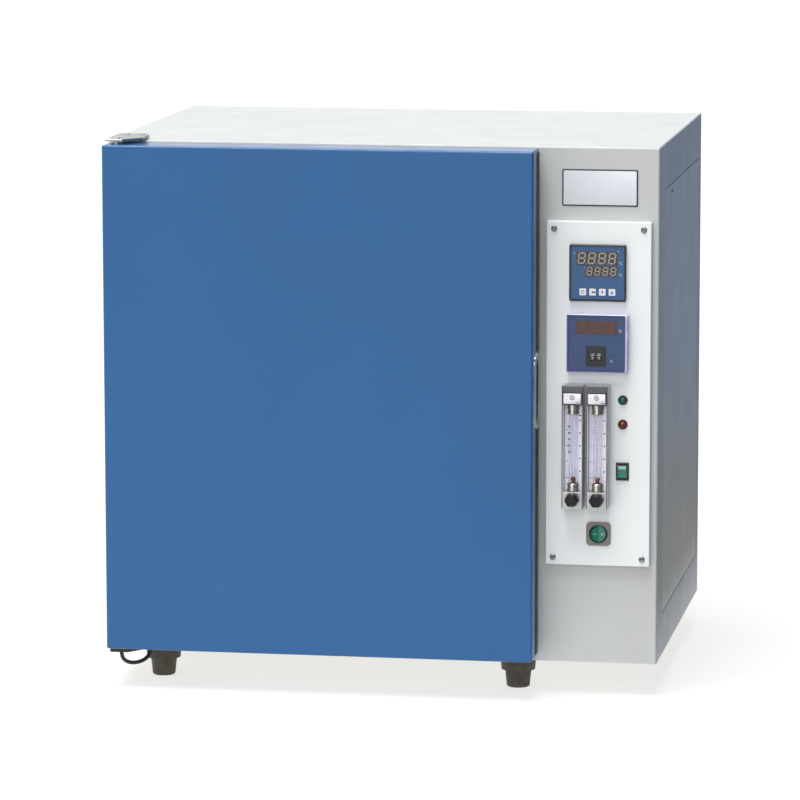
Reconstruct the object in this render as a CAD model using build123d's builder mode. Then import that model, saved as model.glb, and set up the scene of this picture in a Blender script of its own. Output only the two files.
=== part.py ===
"""Carbon dioxide incubator: a front-door cabinet with a water-jacketed chamber and an instrument bay.

Millimetres, +Z up. X runs left to right seen from the front, Y from the front to the back.
The origin lies on the floor under the middle of the incubator's outline.
"""
from math import cos, pi, radians, sin, sqrt, tan
import os

from build123d import *

os.makedirs("parts", exist_ok=True)

# Cabinet
cabinet_width = 730
cabinet_depth = 520
cabinet_height = 680
foot_height = 45
sheet = 1.5
fold_radius = 2.5
fit = 0.3

# Door
instrument_width = 161
door_short = 10.5
door_width = cabinet_width - instrument_width
door_height = cabinet_height - door_short
door_thickness = 50
door_sheet = 1.5
door_fold = 3
door_gap = 12
door_left_inset = 5
door_top_drop = 1.5

# Chamber, water jacket and insulation
chamber_beside = 169
chamber_behind = 120
chamber_above = 169.5
chamber_width = door_width - chamber_beside
chamber_depth = cabinet_depth - chamber_behind
chamber_height = door_height - chamber_above
chamber_corner = 12
liner_wall = 1.5
jacket_space = 38
jacket_wall = 1.5
insulation_side = 46
pad_thickness = 2

# Mouth of the chamber and inner glass door
mouth_depth = 22
mouth_wall = 1.5
mouth_margin = 11
pane_overlap = 14
pane_thickness = 5
pane_setback = 8
knuckle_radius = 4
knuckle_pin = 1.5
running = 0.06

# Hinges of the outer door
pivot_inset = 14
pivot_depth = 23
pivot_pin = 5
pivot_reach = 15
washer_radius = 7.5
hinge_plate = 3
hinge_pad = 2
hinge_width = 45
hinge_left = 6
hinge_back = 43
hinge_nose = 10
hinge_nose_width = 23
hinge_shoulder = 17
hinge_corner = 8
bracket_thickness = 5
bracket_gap = 2.5
bracket_flange = 3
bracket_flange_rise = 20

# Seals
gasket_inset = 15
gasket_width = 22
gasket_clearance = 0.3
inner_seal_width = 8
inner_seal_inset = 4

# Control panel and its instruments, placed from the panel's lower edge and centre line
panel_width = 137
panel_height = 453
panel_gap = 10
panel_drop = 96
panel_left = door_left_inset + door_width + panel_gap
panel_bottom = cabinet_height - panel_height - panel_drop
panel_rise = 9
panel_sheet = 1.5
panel_lap = 12
screw_inset = 10
screw_radius = 4
screw_rise = 2.4
shank_radius = 2
temperature_size = 74
temperature_height = 386.5
temperature_offset = -1
temperature_body = 68
temperature_reach = 75
temperature_rise = 6
temperature_rim = 2
face_recess = 1
key_count = 4
key_size = 9
key_pitch = 12.7
key_drop = 25
key_rise = 0.8
key_travel = 0.8
key_thickness = 2.2
gas_width = 80
gas_height = 76
gas_rise = 12
gas_centre = 295
gas_offset = -0.5
gas_rim = 3
gas_body = 68
gas_reach = 70
wheel_radius = 8
wheel_width = 6
wheel_sides = 10
wheel_pitch = 8.4
wheel_offset = -1.5
wheel_drop = 16.7
wheel_room = 0.4
wheel_show = 1.6
wheel_block = 26
wheel_block_rise = 0.8
wheel_pin = 1.2
flow_width = 28
flow_height = 163
flow_rise = 24
flow_pitch = 32
flow_centre = 159.5
flow_offset = -14.5
window_width = 24
window_height = 120
window_depth = 18
window_top = 20
cap_height = 16
cap_rise = 1.5
cap_screw = 3.4
tube_depth = 16
tube_bore = 4
tube_end = 10
float_radius = 3.3
float_height = 8
float_rest = 0.3
knob_radius = 9.5
knob_length = 13
knob_height = 13
lobe_count = 6
lobe_radius = 3.2
lobe_offset = 1.4
stem_radius = 2.5
stem_length = 10
lamp_offset = 32.5
lamp_radius = 5
lamp_bezel = 6.5
lamp_collar = 1.5
lamp_rise = 4
lamp_body = 20
green_lamp_height = 220
red_lamp_height = 188
rocker_height = 126
rocker_width = 12
rocker_reach = 9.3
rocker_tilt = 8
rocker_back = 5
rocker_hollow = 2
rocker_crest = 4.5
bezel_border = 2.5
bezel_rise = 2
bezel_wall = 1.5
switch_pin = 1.2
switch_pin_length = 0.9
switch_body = 20
switch_cavity = 13
main_switch_offset = 1.5
main_switch_height = 42.5
main_plate_width = 32
main_plate_height = 31
main_plate_rise = 3
main_rocker_reach = 10.5
main_rocker_hollow = 2.4
main_rocker_crest = 4.4
main_barrel_wall = 2

# Pieces at the back
rear_reach = 34
nozzle_radius = 5
nozzle_bore = 3.5
nozzle_flange = 11
flange_thickness = 4
tail_length = 30
port_offset = 150
filler_rise = 180
overflow_rise = 120
drain_rise = 30
gas_inlet_height = 260
mains_inlet_height = 90
louvre_count = 9
louvre_width = 96
louvre_pitch = 18
louvre_slot = 7
louvre_hood = 7
louvre_lip = 3
louvre_height = 450

# Derived places
left_x = -cabinet_width / 2
right_x = cabinet_width / 2
cabinet_bottom = foot_height
cabinet_top = cabinet_bottom + cabinet_height
overall_depth = door_thickness + door_gap + cabinet_depth + rear_reach
door_front_y = -overall_depth / 2
door_back_y = door_front_y + door_thickness
front_y = door_back_y + door_gap
rear_y = front_y + cabinet_depth
middle_y = (front_y + rear_y) / 2
door_left_x = left_x + door_left_inset
door_right_x = door_left_x + door_width
door_x = door_left_x + door_width / 2
door_top = cabinet_top - door_top_drop
door_bottom = door_top - door_height
door_z = door_bottom + door_height / 2
door_y = (door_front_y + door_back_y) / 2

pane_width = chamber_width + 2 * pane_overlap
pane_height = chamber_height + 2 * pane_overlap
mouth_width = pane_width + 2 * mouth_margin
mouth_height = pane_height + 2 * mouth_margin
mouth_back_y = front_y + mouth_depth
liner_front_y = mouth_back_y + mouth_wall
liner_width = chamber_width + 2 * liner_wall
liner_height = chamber_height + 2 * liner_wall
chamber_back_y = liner_front_y + chamber_depth
liner_back_y = chamber_back_y + liner_wall
jacket_width = liner_width + 2 * (jacket_space + jacket_wall)
jacket_height = liner_height + 2 * (jacket_space + jacket_wall)
jacket_back_y = liner_back_y + jacket_space + jacket_wall
chamber_floor = door_z - chamber_height / 2
chamber_left = door_x - chamber_width / 2
chamber_right = door_x + chamber_width / 2
partition_x = door_x + jacket_width / 2 + insulation_side
lining_gap = 2 * (sheet + fit)
bay_left = partition_x + sheet
bay_right = right_x - sheet
bay_x = (bay_left + bay_right) / 2
pan_top = cabinet_bottom + sheet


def front_plane(y):
    """The upright plane at this depth, whose normal faces the user."""
    return Plane.XZ.offset(-y)


def slab_front(x, z, width, height, face_y, depth, corner=0, mode=Mode.ADD):
    """A plate or block whose front face is at face_y and which runs back by depth."""
    with BuildSketch(front_plane(face_y)) as outline:
        with Locations((x, z)):
            if corner:
                RectangleRounded(width, height, corner)
            else:
                Rectangle(width, height)
    extrude(outline.sketch, amount=-depth, mode=mode)


def slab_top(x, y, width, length, base_z, height, corner=0, mode=Mode.ADD):
    """A plate or block that stands on base_z."""
    with BuildSketch(Plane.XY.offset(base_z)) as outline:
        with Locations((x, y)):
            if corner:
                RectangleRounded(width, length, corner)
            else:
                Rectangle(width, length)
    extrude(outline.sketch, amount=height, mode=mode)


def slab_side(y, z, length, height, start_x, width, mode=Mode.ADD):
    """A plate or block that starts at start_x and runs to the right by width."""
    with BuildSketch(Plane.YZ.offset(start_x)) as outline:
        with Locations((y, z)):
            Rectangle(length, height)
    extrude(outline.sketch, amount=width, mode=mode)


def rod(x, z, radius, face_y, length, mode=Mode.ADD):
    """A round bar along Y whose front end is at face_y."""
    with BuildSketch(front_plane(face_y)) as outline:
        with Locations((x, z)):
            Circle(radius)
    extrude(outline.sketch, amount=-length, mode=mode)


def post(x, y, radius, base_z, height, mode=Mode.ADD):
    """A round bar that stands on base_z."""
    with BuildSketch(Plane.XY.offset(base_z)) as outline:
        with Locations((x, y)):
            Circle(radius)
    extrude(outline.sketch, amount=height, mode=mode)


def axle(y, z, radius, start_x, length, mode=Mode.ADD):
    """A round bar along X that starts at start_x."""
    with BuildSketch(Plane.YZ.offset(start_x)) as outline:
        with Locations((y, z)):
            Circle(radius)
    extrude(outline.sketch, amount=length, mode=mode)


def save(piece, name):
    """Labels a finished sub-part and writes it under its own name."""
    piece.part.label = name
    export_step(piece.part, f"parts/{name}.step")


# Instrument places that several pieces share
panel_x = left_x + panel_left + panel_width / 2
panel_base = cabinet_bottom + panel_bottom
panel_z = panel_base + panel_height / 2
panel_front_y = front_y - panel_rise
temperature_z = panel_base + temperature_height
temperature_front_y = panel_front_y - temperature_rise
temperature_x = panel_x + temperature_offset
gas_x = panel_x + gas_offset
gas_z = panel_base + gas_centre
gas_front_y = panel_front_y - gas_rise
flow_z = panel_base + flow_centre
flow_front_y = panel_front_y - flow_rise
flow_xs = [panel_x + flow_offset - flow_pitch / 2, panel_x + flow_offset + flow_pitch / 2]
flow_top = flow_z + flow_height / 2
flow_bottom = flow_z - flow_height / 2
window_z = flow_top - window_top - window_height / 2
knob_z = flow_bottom + knob_height
lamp_x = panel_x + lamp_offset
green_lamp_z = panel_base + green_lamp_height
red_lamp_z = panel_base + red_lamp_height
rocker_x = lamp_x
rocker_z = panel_base + rocker_height
main_switch_x = panel_x + main_switch_offset
main_switch_z = panel_base + main_switch_height

# Side access opening in the right-hand wall
access_front = 65
access_length = 420
access_bottom = 57
access_height = 561
access_groove = 2
access_lap = 18
access_y = front_y + access_front + access_length / 2
access_z = cabinet_bottom + access_bottom + access_height / 2

# Outer casing: top, two sides and front folded from one sheet, open at the back and below
with BuildPart() as outer_casing:
    slab_top(0, middle_y, cabinet_width, cabinet_depth, cabinet_bottom, cabinet_height)
    folds = outer_casing.edges().filter_by(Axis.Z).sort_by(Axis.Y)[:2]
    folds += outer_casing.faces().sort_by(Axis.Z)[-1].edges().sort_by(Axis.Y)[:3]
    fillet(folds, fold_radius)
    slab_top(0, middle_y + sheet, cabinet_width - 2 * sheet, cabinet_depth,
             cabinet_bottom, cabinet_height - sheet, mode=Mode.SUBTRACT)
    slab_front(door_x, door_z, mouth_width + 2 * (mouth_wall + fit), mouth_height + 2 * (mouth_wall + fit),
               front_y, sheet, mode=Mode.SUBTRACT)
    slab_front(panel_x, panel_z, panel_width - 2 * panel_lap, panel_height - 2 * panel_lap,
               front_y, sheet, mode=Mode.SUBTRACT)
    slab_side(access_y, access_z, access_length + 2 * access_groove, access_height + 2 * access_groove,
              right_x - sheet, sheet, mode=Mode.SUBTRACT)
    slab_side(access_y, access_z, access_length + 2 * access_lap, access_height + 2 * access_lap,
              right_x - 2 * sheet, sheet)
    slab_side(access_y, access_z, access_length - 2 * access_lap, access_height - 2 * access_lap,
              right_x - 2 * sheet, sheet, mode=Mode.SUBTRACT)
save(outer_casing, "outer_casing")

# Side access panel: lies flush in its opening, on the ledge inside the casing
with BuildPart() as side_access_panel:
    slab_side(access_y, access_z, access_length, access_height, right_x - sheet, sheet)
    fillet(side_access_panel.edges().filter_by(Axis.X), access_groove)
save(side_access_panel, "side_access_panel")

# Base pan with upturned edges, vent slots under the bay and a ferrule for the door lead
lead_radius = 2.6
lead_inset = 47
lead_setback = 14
lead_exit_x = left_x + lead_inset
lead_exit_y = front_y + lead_setback
ferrule_wall = 1.6
ferrule_height = 4
pan_edge = 15
vent_count = 6
vent_pitch = 14
vent_length = 90
vent_width = 6
pan_width = cabinet_width - 2 * (sheet + fit)
pan_depth = cabinet_depth - 2 * (sheet + fit)
with BuildPart() as base_pan:
    slab_top(0, middle_y, pan_width, pan_depth, cabinet_bottom, pan_edge)
    slab_top(0, middle_y, pan_width - 2 * sheet, pan_depth - 2 * sheet, pan_top, pan_edge, mode=Mode.SUBTRACT)
    for step in range(vent_count):
        vent_y = middle_y + (step - (vent_count - 1) / 2) * vent_pitch
        slab_top(bay_x, vent_y, vent_length, vent_width, cabinet_bottom, sheet, mode=Mode.SUBTRACT)
    post(lead_exit_x, lead_exit_y, lead_radius + ferrule_wall, cabinet_bottom - ferrule_height, ferrule_height)
    post(lead_exit_x, lead_exit_y, lead_radius + fit, cabinet_bottom - ferrule_height, ferrule_height + sheet,
         mode=Mode.SUBTRACT)
save(base_pan, "base_pan")

# Feet: moulded, with a wide collar under the pan and a tapered stem
foot_collar = 24.5
foot_collar_low = 22.5
foot_collar_height = 23
foot_shoulder = 2
foot_neck = 17.5
foot_end = 15.5
foot_rounding = 3
foot_inset_front = 45
foot_inset_rear = 60
foot_left = 59
foot_short = 28
foot_right = door_width - foot_short
foot_spots = [(left_x + x, y) for x in (foot_left, foot_right)
              for y in (front_y + foot_inset_front, rear_y - foot_inset_rear)]
with BuildPart() as one_foot:
    with BuildSketch(Plane.XZ):
        with BuildLine():
            Polyline((0, 0), (foot_end - foot_rounding, 0))
            RadiusArc((foot_end - foot_rounding, 0), (foot_end, foot_rounding), -foot_rounding)
            Polyline((foot_end, foot_rounding), (foot_neck, foot_height - foot_collar_height),
                     (foot_collar_low, foot_height - foot_collar_height + foot_shoulder),
                     (foot_collar, foot_height), (0, foot_height), (0, 0))
        make_face()
    revolve(axis=Axis.Z)
with BuildPart() as feet:
    with Locations(*[(x, y, 0) for x, y in foot_spots]):
        add(one_foot.part)
save(feet, "feet")

# Partition between the insulated box and the instrument bay, with folded edges
partition_edge = 14
partition_front = front_y + lining_gap
partition_back = rear_y - lining_gap
with BuildPart() as bay_partition:
    partition_y = (partition_front + partition_back) / 2
    partition_height = cabinet_top - sheet - pan_top
    slab_top(partition_x + sheet / 2, partition_y, sheet, partition_back - partition_front,
             pan_top, partition_height)
    for edge_y in (partition_front + sheet / 2, partition_back - sheet / 2):
        slab_top(bay_left + partition_edge / 2, edge_y, partition_edge, sheet, pan_top, partition_height)
save(bay_partition, "bay_partition")

# Mouth frame: lines the step behind the outer door and carries the inner door's knuckles
pane_left = door_x - pane_width / 2
pane_right = door_x + pane_width / 2
pane_front_y = front_y + pane_setback
pane_y = pane_front_y + pane_thickness / 2
pane_back_y = pane_front_y + pane_thickness
knuckle_offset = 5
knuckle_x = pane_left - knuckle_offset
knuckle_length = 14
knuckle_rise = 190
knuckle_gap = 0.4
latch_offset = 5.5
latch_x = pane_right + latch_offset
latch_boss = 4
latch_pin = 2
latch_z = door_z
with BuildPart() as mouth_frame:
    slab_front(door_x, door_z, mouth_width + 2 * mouth_wall, mouth_height + 2 * mouth_wall,
               front_y, mouth_depth + mouth_wall)
    slab_front(door_x, door_z, mouth_width, mouth_height, front_y, mouth_depth, mode=Mode.SUBTRACT)
    slab_front(door_x, door_z, chamber_width, chamber_height, mouth_back_y, mouth_wall,
               corner=chamber_corner, mode=Mode.SUBTRACT)
    for side in (-1, 1):
        for end in (-1, 1):
            centre_z = door_z + side * knuckle_rise + end * (knuckle_length + knuckle_gap)
            base_z = centre_z - knuckle_length / 2
            wall_x = door_x - mouth_width / 2
            slab_top((wall_x + knuckle_x) / 2, pane_y, knuckle_x - wall_x, 2 * knuckle_radius,
                     base_z, knuckle_length)
            post(knuckle_x, pane_y, knuckle_radius, base_z, knuckle_length)
            post(knuckle_x, pane_y, knuckle_pin + running, base_z, knuckle_length, mode=Mode.SUBTRACT)
    rod(latch_x, latch_z, latch_boss, pane_front_y, mouth_back_y - pane_front_y)
    rod(latch_x, latch_z, latch_pin + running, pane_front_y, mouth_back_y - pane_front_y, mode=Mode.SUBTRACT)
save(mouth_frame, "mouth_frame")

# Inner seal on the mouth frame, which the glass door closes on
inner_seal_y = pane_back_y + gasket_clearance
with BuildPart() as inner_seal:
    seal_width = pane_width - 2 * inner_seal_inset
    seal_height = pane_height - 2 * inner_seal_inset
    slab_front(door_x, door_z, seal_width, seal_height, inner_seal_y, mouth_back_y - inner_seal_y,
               corner=chamber_corner)
    slab_front(door_x, door_z, seal_width - 2 * inner_seal_width, seal_height - 2 * inner_seal_width,
               inner_seal_y, mouth_back_y - inner_seal_y, corner=chamber_corner / 2, mode=Mode.SUBTRACT)
save(inner_seal, "inner_seal")

# Fan, probe and their passages through the back of the chamber
fan_drop = 120
fan_rise = chamber_height / 2 - fan_drop
fan_z = door_z + fan_rise
fan_radius = 55
shaft_radius = 4
sleeve_bore = 9
sleeve_wall = 1.5
probe_inset = 10
probe_drop = 100
probe_rise = chamber_height / 2 - probe_drop
probe_x = chamber_right - probe_inset
probe_z = door_z + probe_rise
probe_radius = 4
probe_reach = 60
probe_guard = 6
probe_guard_length = 24
probe_tail = 20

# Chamber liner: stainless box with rounded long corners, open towards the mouth
with BuildPart() as chamber_liner:
    slab_front(door_x, door_z, liner_width, liner_height, liner_front_y, chamber_depth + liner_wall,
               corner=chamber_corner + liner_wall)
    slab_front(door_x, door_z, chamber_width, chamber_height, liner_front_y, chamber_depth,
               corner=chamber_corner, mode=Mode.SUBTRACT)
    rod(door_x, fan_z, sleeve_bore, chamber_back_y, liner_wall, mode=Mode.SUBTRACT)
    rod(probe_x, probe_z, probe_radius + running, chamber_back_y, liner_wall, mode=Mode.SUBTRACT)
save(chamber_liner, "chamber_liner")

# Water ports, gas inlet and drain pass through the back
drain_x = door_x - port_offset
drain_z = door_z - jacket_height / 2 + drain_rise
gas_inlet_x = bay_x
gas_inlet_z = cabinet_bottom + gas_inlet_height
hose_spots = [(door_x - port_offset, door_z + rise) for rise in (filler_rise, overflow_rise)]

# Water jacket: a welded tank round the liner, with sleeves for the fan shaft and the probe
with BuildPart() as water_jacket:
    slab_front(door_x, door_z, jacket_width, jacket_height, liner_front_y, jacket_back_y - liner_front_y)
    slab_front(door_x, door_z, jacket_width - 2 * jacket_wall, jacket_height - 2 * jacket_wall,
               liner_front_y + jacket_wall, jacket_back_y - liner_front_y - 2 * jacket_wall,
               mode=Mode.SUBTRACT)
    slab_front(door_x, door_z, liner_width, liner_height, liner_front_y, jacket_wall,
               corner=chamber_corner + liner_wall, mode=Mode.SUBTRACT)
    for sleeve_x, sleeve_z, bore in ((door_x, fan_z, sleeve_bore), (probe_x, probe_z, probe_radius + running)):
        rod(sleeve_x, sleeve_z, bore + sleeve_wall, liner_back_y, jacket_space + jacket_wall)
        rod(sleeve_x, sleeve_z, bore, liner_back_y, jacket_space + jacket_wall, mode=Mode.SUBTRACT)
    for port_x, port_z in hose_spots + [(drain_x, drain_z)]:
        rod(port_x, port_z, nozzle_bore, jacket_back_y - jacket_wall, jacket_wall, mode=Mode.SUBTRACT)
save(water_jacket, "water_jacket")

# Heating mats on the outside of the jacket: one below and one on each side
mat_inset = 40
with BuildPart() as jacket_heater:
    mat_y = (liner_front_y + jacket_back_y) / 2
    mat_length = jacket_back_y - liner_front_y - 2 * mat_inset
    slab_top(door_x, mat_y, jacket_width - 2 * mat_inset, mat_length,
             door_z - jacket_height / 2 - pad_thickness, pad_thickness)
    for start_x in (door_x - jacket_width / 2 - pad_thickness, door_x + jacket_width / 2):
        slab_side(mat_y, door_z, mat_length, jacket_height - 2 * mat_inset, start_x, pad_thickness)
save(jacket_heater, "jacket_heater")

# Insulation: foam round the jacket, with passages and a pocket for the fan motor
motor_radius = 30
motor_length = 38
motor_pocket = 1
motor_chamfer = 3
with BuildPart() as insulation:
    foam_left = left_x + lining_gap
    foam_width = partition_x - foam_left
    foam_front = front_y + lining_gap
    foam_depth = rear_y - lining_gap - foam_front
    slab_top(foam_left + foam_width / 2, foam_front + foam_depth / 2, foam_width, foam_depth,
             pan_top, cabinet_top - sheet - pan_top)
    slab_front(door_x, door_z, mouth_width + 2 * mouth_wall, mouth_height + 2 * mouth_wall,
               foam_front, liner_front_y - foam_front, mode=Mode.SUBTRACT)
    slab_front(door_x, door_z, jacket_width, jacket_height, liner_front_y, jacket_back_y - liner_front_y,
               mode=Mode.SUBTRACT)
    slab_top(door_x, mat_y, jacket_width - 2 * mat_inset, mat_length,
             door_z - jacket_height / 2 - pad_thickness, pad_thickness, mode=Mode.SUBTRACT)
    for start_x in (door_x - jacket_width / 2 - pad_thickness, door_x + jacket_width / 2):
        slab_side(mat_y, door_z, mat_length, jacket_height - 2 * mat_inset, start_x, pad_thickness,
                  mode=Mode.SUBTRACT)
    rod(door_x, fan_z, motor_radius + motor_pocket, jacket_back_y, motor_length + motor_pocket,
        mode=Mode.SUBTRACT)
    for port_x, port_z in hose_spots + [(drain_x, drain_z), (probe_x, probe_z)]:
        rod(port_x, port_z, nozzle_radius + fit, jacket_back_y, rear_y - jacket_back_y, mode=Mode.SUBTRACT)
save(insulation, "insulation")

# Fan motor behind the jacket, with the bearing bore for the impeller's shaft
bearing_depth = 14
with BuildPart() as fan_motor:
    rod(door_x, fan_z, motor_radius, jacket_back_y, motor_length)
    chamfer(fan_motor.edges().filter_by(GeomType.CIRCLE).sort_by(Axis.Y)[-1], motor_chamfer)
    rod(door_x, fan_z, shaft_radius + running, jacket_back_y, bearing_depth, mode=Mode.SUBTRACT)
save(fan_motor, "fan_motor")

# Fan impeller: back disc, hub, shaft and curved blades
duct_depth = 28
impeller_depth = 18
impeller_gap = 4
impeller_back_y = chamber_back_y - impeller_gap
hub_radius = 10
shaft_end_gap = 1
blade_count = 8
blade_radius = 40
blade_spread = 56
blade_sag = 36
blade_thickness = 1.5
disc_thickness = 1.5
blade_arc = CenterArc((0, 0), blade_radius, 90 - blade_spread / 2, blade_spread)
with BuildPart() as fan_impeller:
    rod(door_x, fan_z, fan_radius, impeller_back_y - disc_thickness, disc_thickness)
    rod(door_x, fan_z, hub_radius, impeller_back_y - impeller_depth, impeller_depth)
    rod(door_x, fan_z, shaft_radius, impeller_back_y,
        jacket_back_y + bearing_depth - shaft_end_gap - impeller_back_y)
    with BuildSketch(front_plane(impeller_back_y - disc_thickness)) as blades:
        with Locations((door_x, fan_z)):
            with PolarLocations(0, blade_count):
                with Locations(((hub_radius + fan_radius) / 2, -blade_sag)):
                    SlotArc(blade_arc, blade_thickness)
    extrude(blades.sketch, amount=impeller_depth - disc_thickness)
save(fan_impeller, "fan_impeller")

# Duct cover in front of the fan: round intake grille and outlet slots low down
duct_beside = 44
duct_above = 60
duct_width = chamber_width - duct_beside
duct_height = chamber_height - duct_above
duct_wall = 1.2
duct_corner = 6
duct_rise = 45
duct_z = chamber_floor + duct_rise + duct_height / 2
grille_radius = 46
grille_rows = 7
grille_pitch = 12
slot_width = 5
outlet_rows = 4
outlet_rise = 24
outlet_length = 276
with BuildPart() as duct_cover:
    slab_front(door_x, duct_z, duct_width, duct_height, chamber_back_y - duct_depth, duct_depth,
               corner=duct_corner)
    slab_front(door_x, duct_z, duct_width - 2 * duct_wall, duct_height - 2 * duct_wall,
               chamber_back_y - duct_depth + duct_wall, duct_depth, corner=duct_corner - duct_wall,
               mode=Mode.SUBTRACT)
    for row in range(grille_rows):
        offset_z = (row - (grille_rows - 1) / 2) * grille_pitch
        slot_length = 2 * sqrt(grille_radius ** 2 - offset_z ** 2)
        slab_front(door_x, fan_z + offset_z, slot_length, slot_width, chamber_back_y - duct_depth,
                   duct_wall, mode=Mode.SUBTRACT)
    for row in range(outlet_rows):
        slab_front(door_x, duct_z - duct_height / 2 + outlet_rise + row * grille_pitch, outlet_length,
                   slot_width, chamber_back_y - duct_depth, duct_wall, mode=Mode.SUBTRACT)
save(duct_cover, "duct_cover")

# Temperature and gas probe beside the duct
with BuildPart() as sensor_probe:
    rod(probe_x, probe_z, probe_radius, chamber_back_y - probe_reach,
        jacket_back_y + probe_tail - chamber_back_y + probe_reach)
    rod(probe_x, probe_z, probe_guard, chamber_back_y - probe_reach, probe_guard_length)
    fillet(sensor_probe.faces().sort_by(Axis.Y)[0].edges(), probe_guard / 3)
save(sensor_probe, "sensor_probe")

# Shelf uprights: four slotted strips on the side walls, with a peg at each shelf level
upright_width = 22
upright_thickness = 2
upright_short = 60
upright_height = chamber_height - upright_short
upright_setback = 70
upright_behind = 110
upright_spacing = chamber_depth - upright_setback - upright_behind
upright_ys = [liner_front_y + upright_setback, liner_front_y + upright_setback + upright_spacing]
upright_slots = 9
upright_slot_margin = 35
upright_slot_pitch = (upright_height - upright_slot_margin) / upright_slots
upright_slot_width = 10
upright_slot_height = 4
peg_length = 10
peg_width = 14
peg_thickness = 3
shelf_lift = 5
shelf_pitch = chamber_height / 4
shelf_first = shelf_pitch + shelf_lift
shelf_levels = [chamber_floor + shelf_first + step * shelf_pitch for step in range(3)]
with BuildPart() as shelf_uprights:
    for side, wall_x in ((1, chamber_left), (-1, chamber_right)):
        for upright_y in upright_ys:
            strip_x = wall_x + side * upright_thickness / 2
            slab_top(strip_x, upright_y, upright_thickness, upright_width,
                     door_z - upright_height / 2, upright_height)
            for step in range(upright_slots):
                slot_z = door_z + (step - (upright_slots - 1) / 2) * upright_slot_pitch - upright_slot_height / 2
                slab_top(strip_x, upright_y, upright_thickness, upright_slot_width, slot_z,
                         upright_slot_height, mode=Mode.SUBTRACT)
            for level in shelf_levels:
                peg_x = wall_x + side * (upright_thickness + peg_length / 2)
                slab_top(peg_x, upright_y, peg_length, peg_width, level - peg_thickness, peg_thickness)
save(shelf_uprights, "shelf_uprights")

# Shelves: slotted stainless trays that rest on the pegs
shelf_gap = 1
shelf_width = chamber_width - 2 * (upright_thickness + shelf_gap)
shelf_short = 60
shelf_depth = chamber_depth - shelf_short
shelf_sheet = 1.5
shelf_lip = 12
shelf_setback = 16
shelf_front_y = liner_front_y + shelf_setback
shelf_y = shelf_front_y + shelf_depth / 2
slot_rows = 10
slot_columns = 3
slot_height = 18
slot_bridge = 18
for shelf_name, level in zip(("shelf_lower", "shelf_middle", "shelf_upper"), shelf_levels):
    with BuildPart() as shelf:
        slab_top(door_x, shelf_y, shelf_width, shelf_depth, level, shelf_sheet)
        for lip_y in (shelf_front_y + shelf_sheet / 2, shelf_front_y + shelf_depth - shelf_sheet / 2):
            slab_top(door_x, lip_y, shelf_width - 2 * peg_length, shelf_sheet, level - shelf_lip, shelf_lip)
        with BuildSketch(Plane.XY.offset(level)) as slots:
            with Locations((door_x, shelf_y)):
                slot_pitch = (shelf_width - slot_bridge) / slot_columns
                with GridLocations(slot_pitch, (shelf_depth - shelf_lip) / slot_rows, slot_columns, slot_rows):
                    Rectangle(slot_pitch - slot_bridge, slot_height)
        extrude(slots.sketch, amount=shelf_sheet, mode=Mode.SUBTRACT)
    save(shelf, shelf_name)

# Water tray on the chamber's floor
tray_narrow = 70
tray_short = 80
tray_width = chamber_width - tray_narrow
tray_length = shelf_depth - tray_short
tray_height = 30
tray_wall = 1.2
tray_corner = 14
with BuildPart() as water_tray:
    slab_top(door_x, shelf_y, tray_width, tray_length, chamber_floor, tray_height, corner=tray_corner)
    slab_top(door_x, shelf_y, tray_width - 2 * tray_wall, tray_length - 2 * tray_wall,
             chamber_floor + tray_wall, tray_height, corner=tray_corner - tray_wall, mode=Mode.SUBTRACT)
save(water_tray, "water_tray")

# Inner glass door
pane_corner = 3
with BuildPart() as inner_glass:
    slab_front(door_x, door_z, pane_width, pane_height, pane_front_y, pane_thickness, corner=pane_corner)
save(inner_glass, "inner_glass")

# Fittings of the glass door: two hinge clamps with pins, and a knob
clamp_reach = 14
clamp_plate = 1.8
clamp_swing = 1.3
clamp_back_reach = inner_seal_inset - clamp_swing
glass_knob_inset = 30
glass_knob_radius = 9
glass_knob_rise = 7
glass_knob_fillet = 2
pin_end_gap = 1
with BuildPart() as glass_fittings:
    for side in (-1, 1):
        base_z = door_z + side * knuckle_rise - knuckle_length / 2
        post(knuckle_x, pane_y, knuckle_radius, base_z, knuckle_length)
        post(knuckle_x, pane_y, knuckle_pin, base_z - knuckle_length + pin_end_gap,
             3 * knuckle_length - 2 * pin_end_gap)
        for plate_y, depth, end_x in ((pane_front_y - clamp_plate / 2, clamp_plate, pane_left + clamp_reach),
                                      (pane_y, pane_thickness, pane_left),
                                      (pane_back_y + clamp_plate / 2, clamp_plate, pane_left + clamp_back_reach)):
            slab_top((knuckle_x + end_x) / 2, plate_y, end_x - knuckle_x, depth, base_z, knuckle_length)
    rod(pane_right - glass_knob_inset, door_z, glass_knob_radius, pane_front_y - glass_knob_rise, glass_knob_rise)
    fillet(glass_fittings.faces().sort_by(Axis.Y)[0].edges(), glass_knob_fillet)
save(glass_fittings, "glass_fittings")

# Turn latch of the glass door, shown released; its tongue swings over the pane's edge
tongue_thickness = 2.5
tongue_width = 8
tongue_length = 22
latch_head = 3
latch_head_rise = 2
with BuildPart() as glass_latch:
    tongue_y = pane_front_y - fit - tongue_thickness
    with BuildSketch(front_plane(tongue_y)) as tongue:
        with Locations((latch_x, latch_z + tongue_length / 2 - tongue_width / 2)):
            SlotOverall(tongue_length, tongue_width, rotation=90)
    extrude(tongue.sketch, amount=-tongue_thickness)
    rod(latch_x, latch_z, latch_head, tongue_y - latch_head_rise, latch_head_rise)
    rod(latch_x, latch_z, latch_pin, tongue_y, mouth_back_y - tongue_y - pin_end_gap)
save(glass_latch, "glass_latch")

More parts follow.
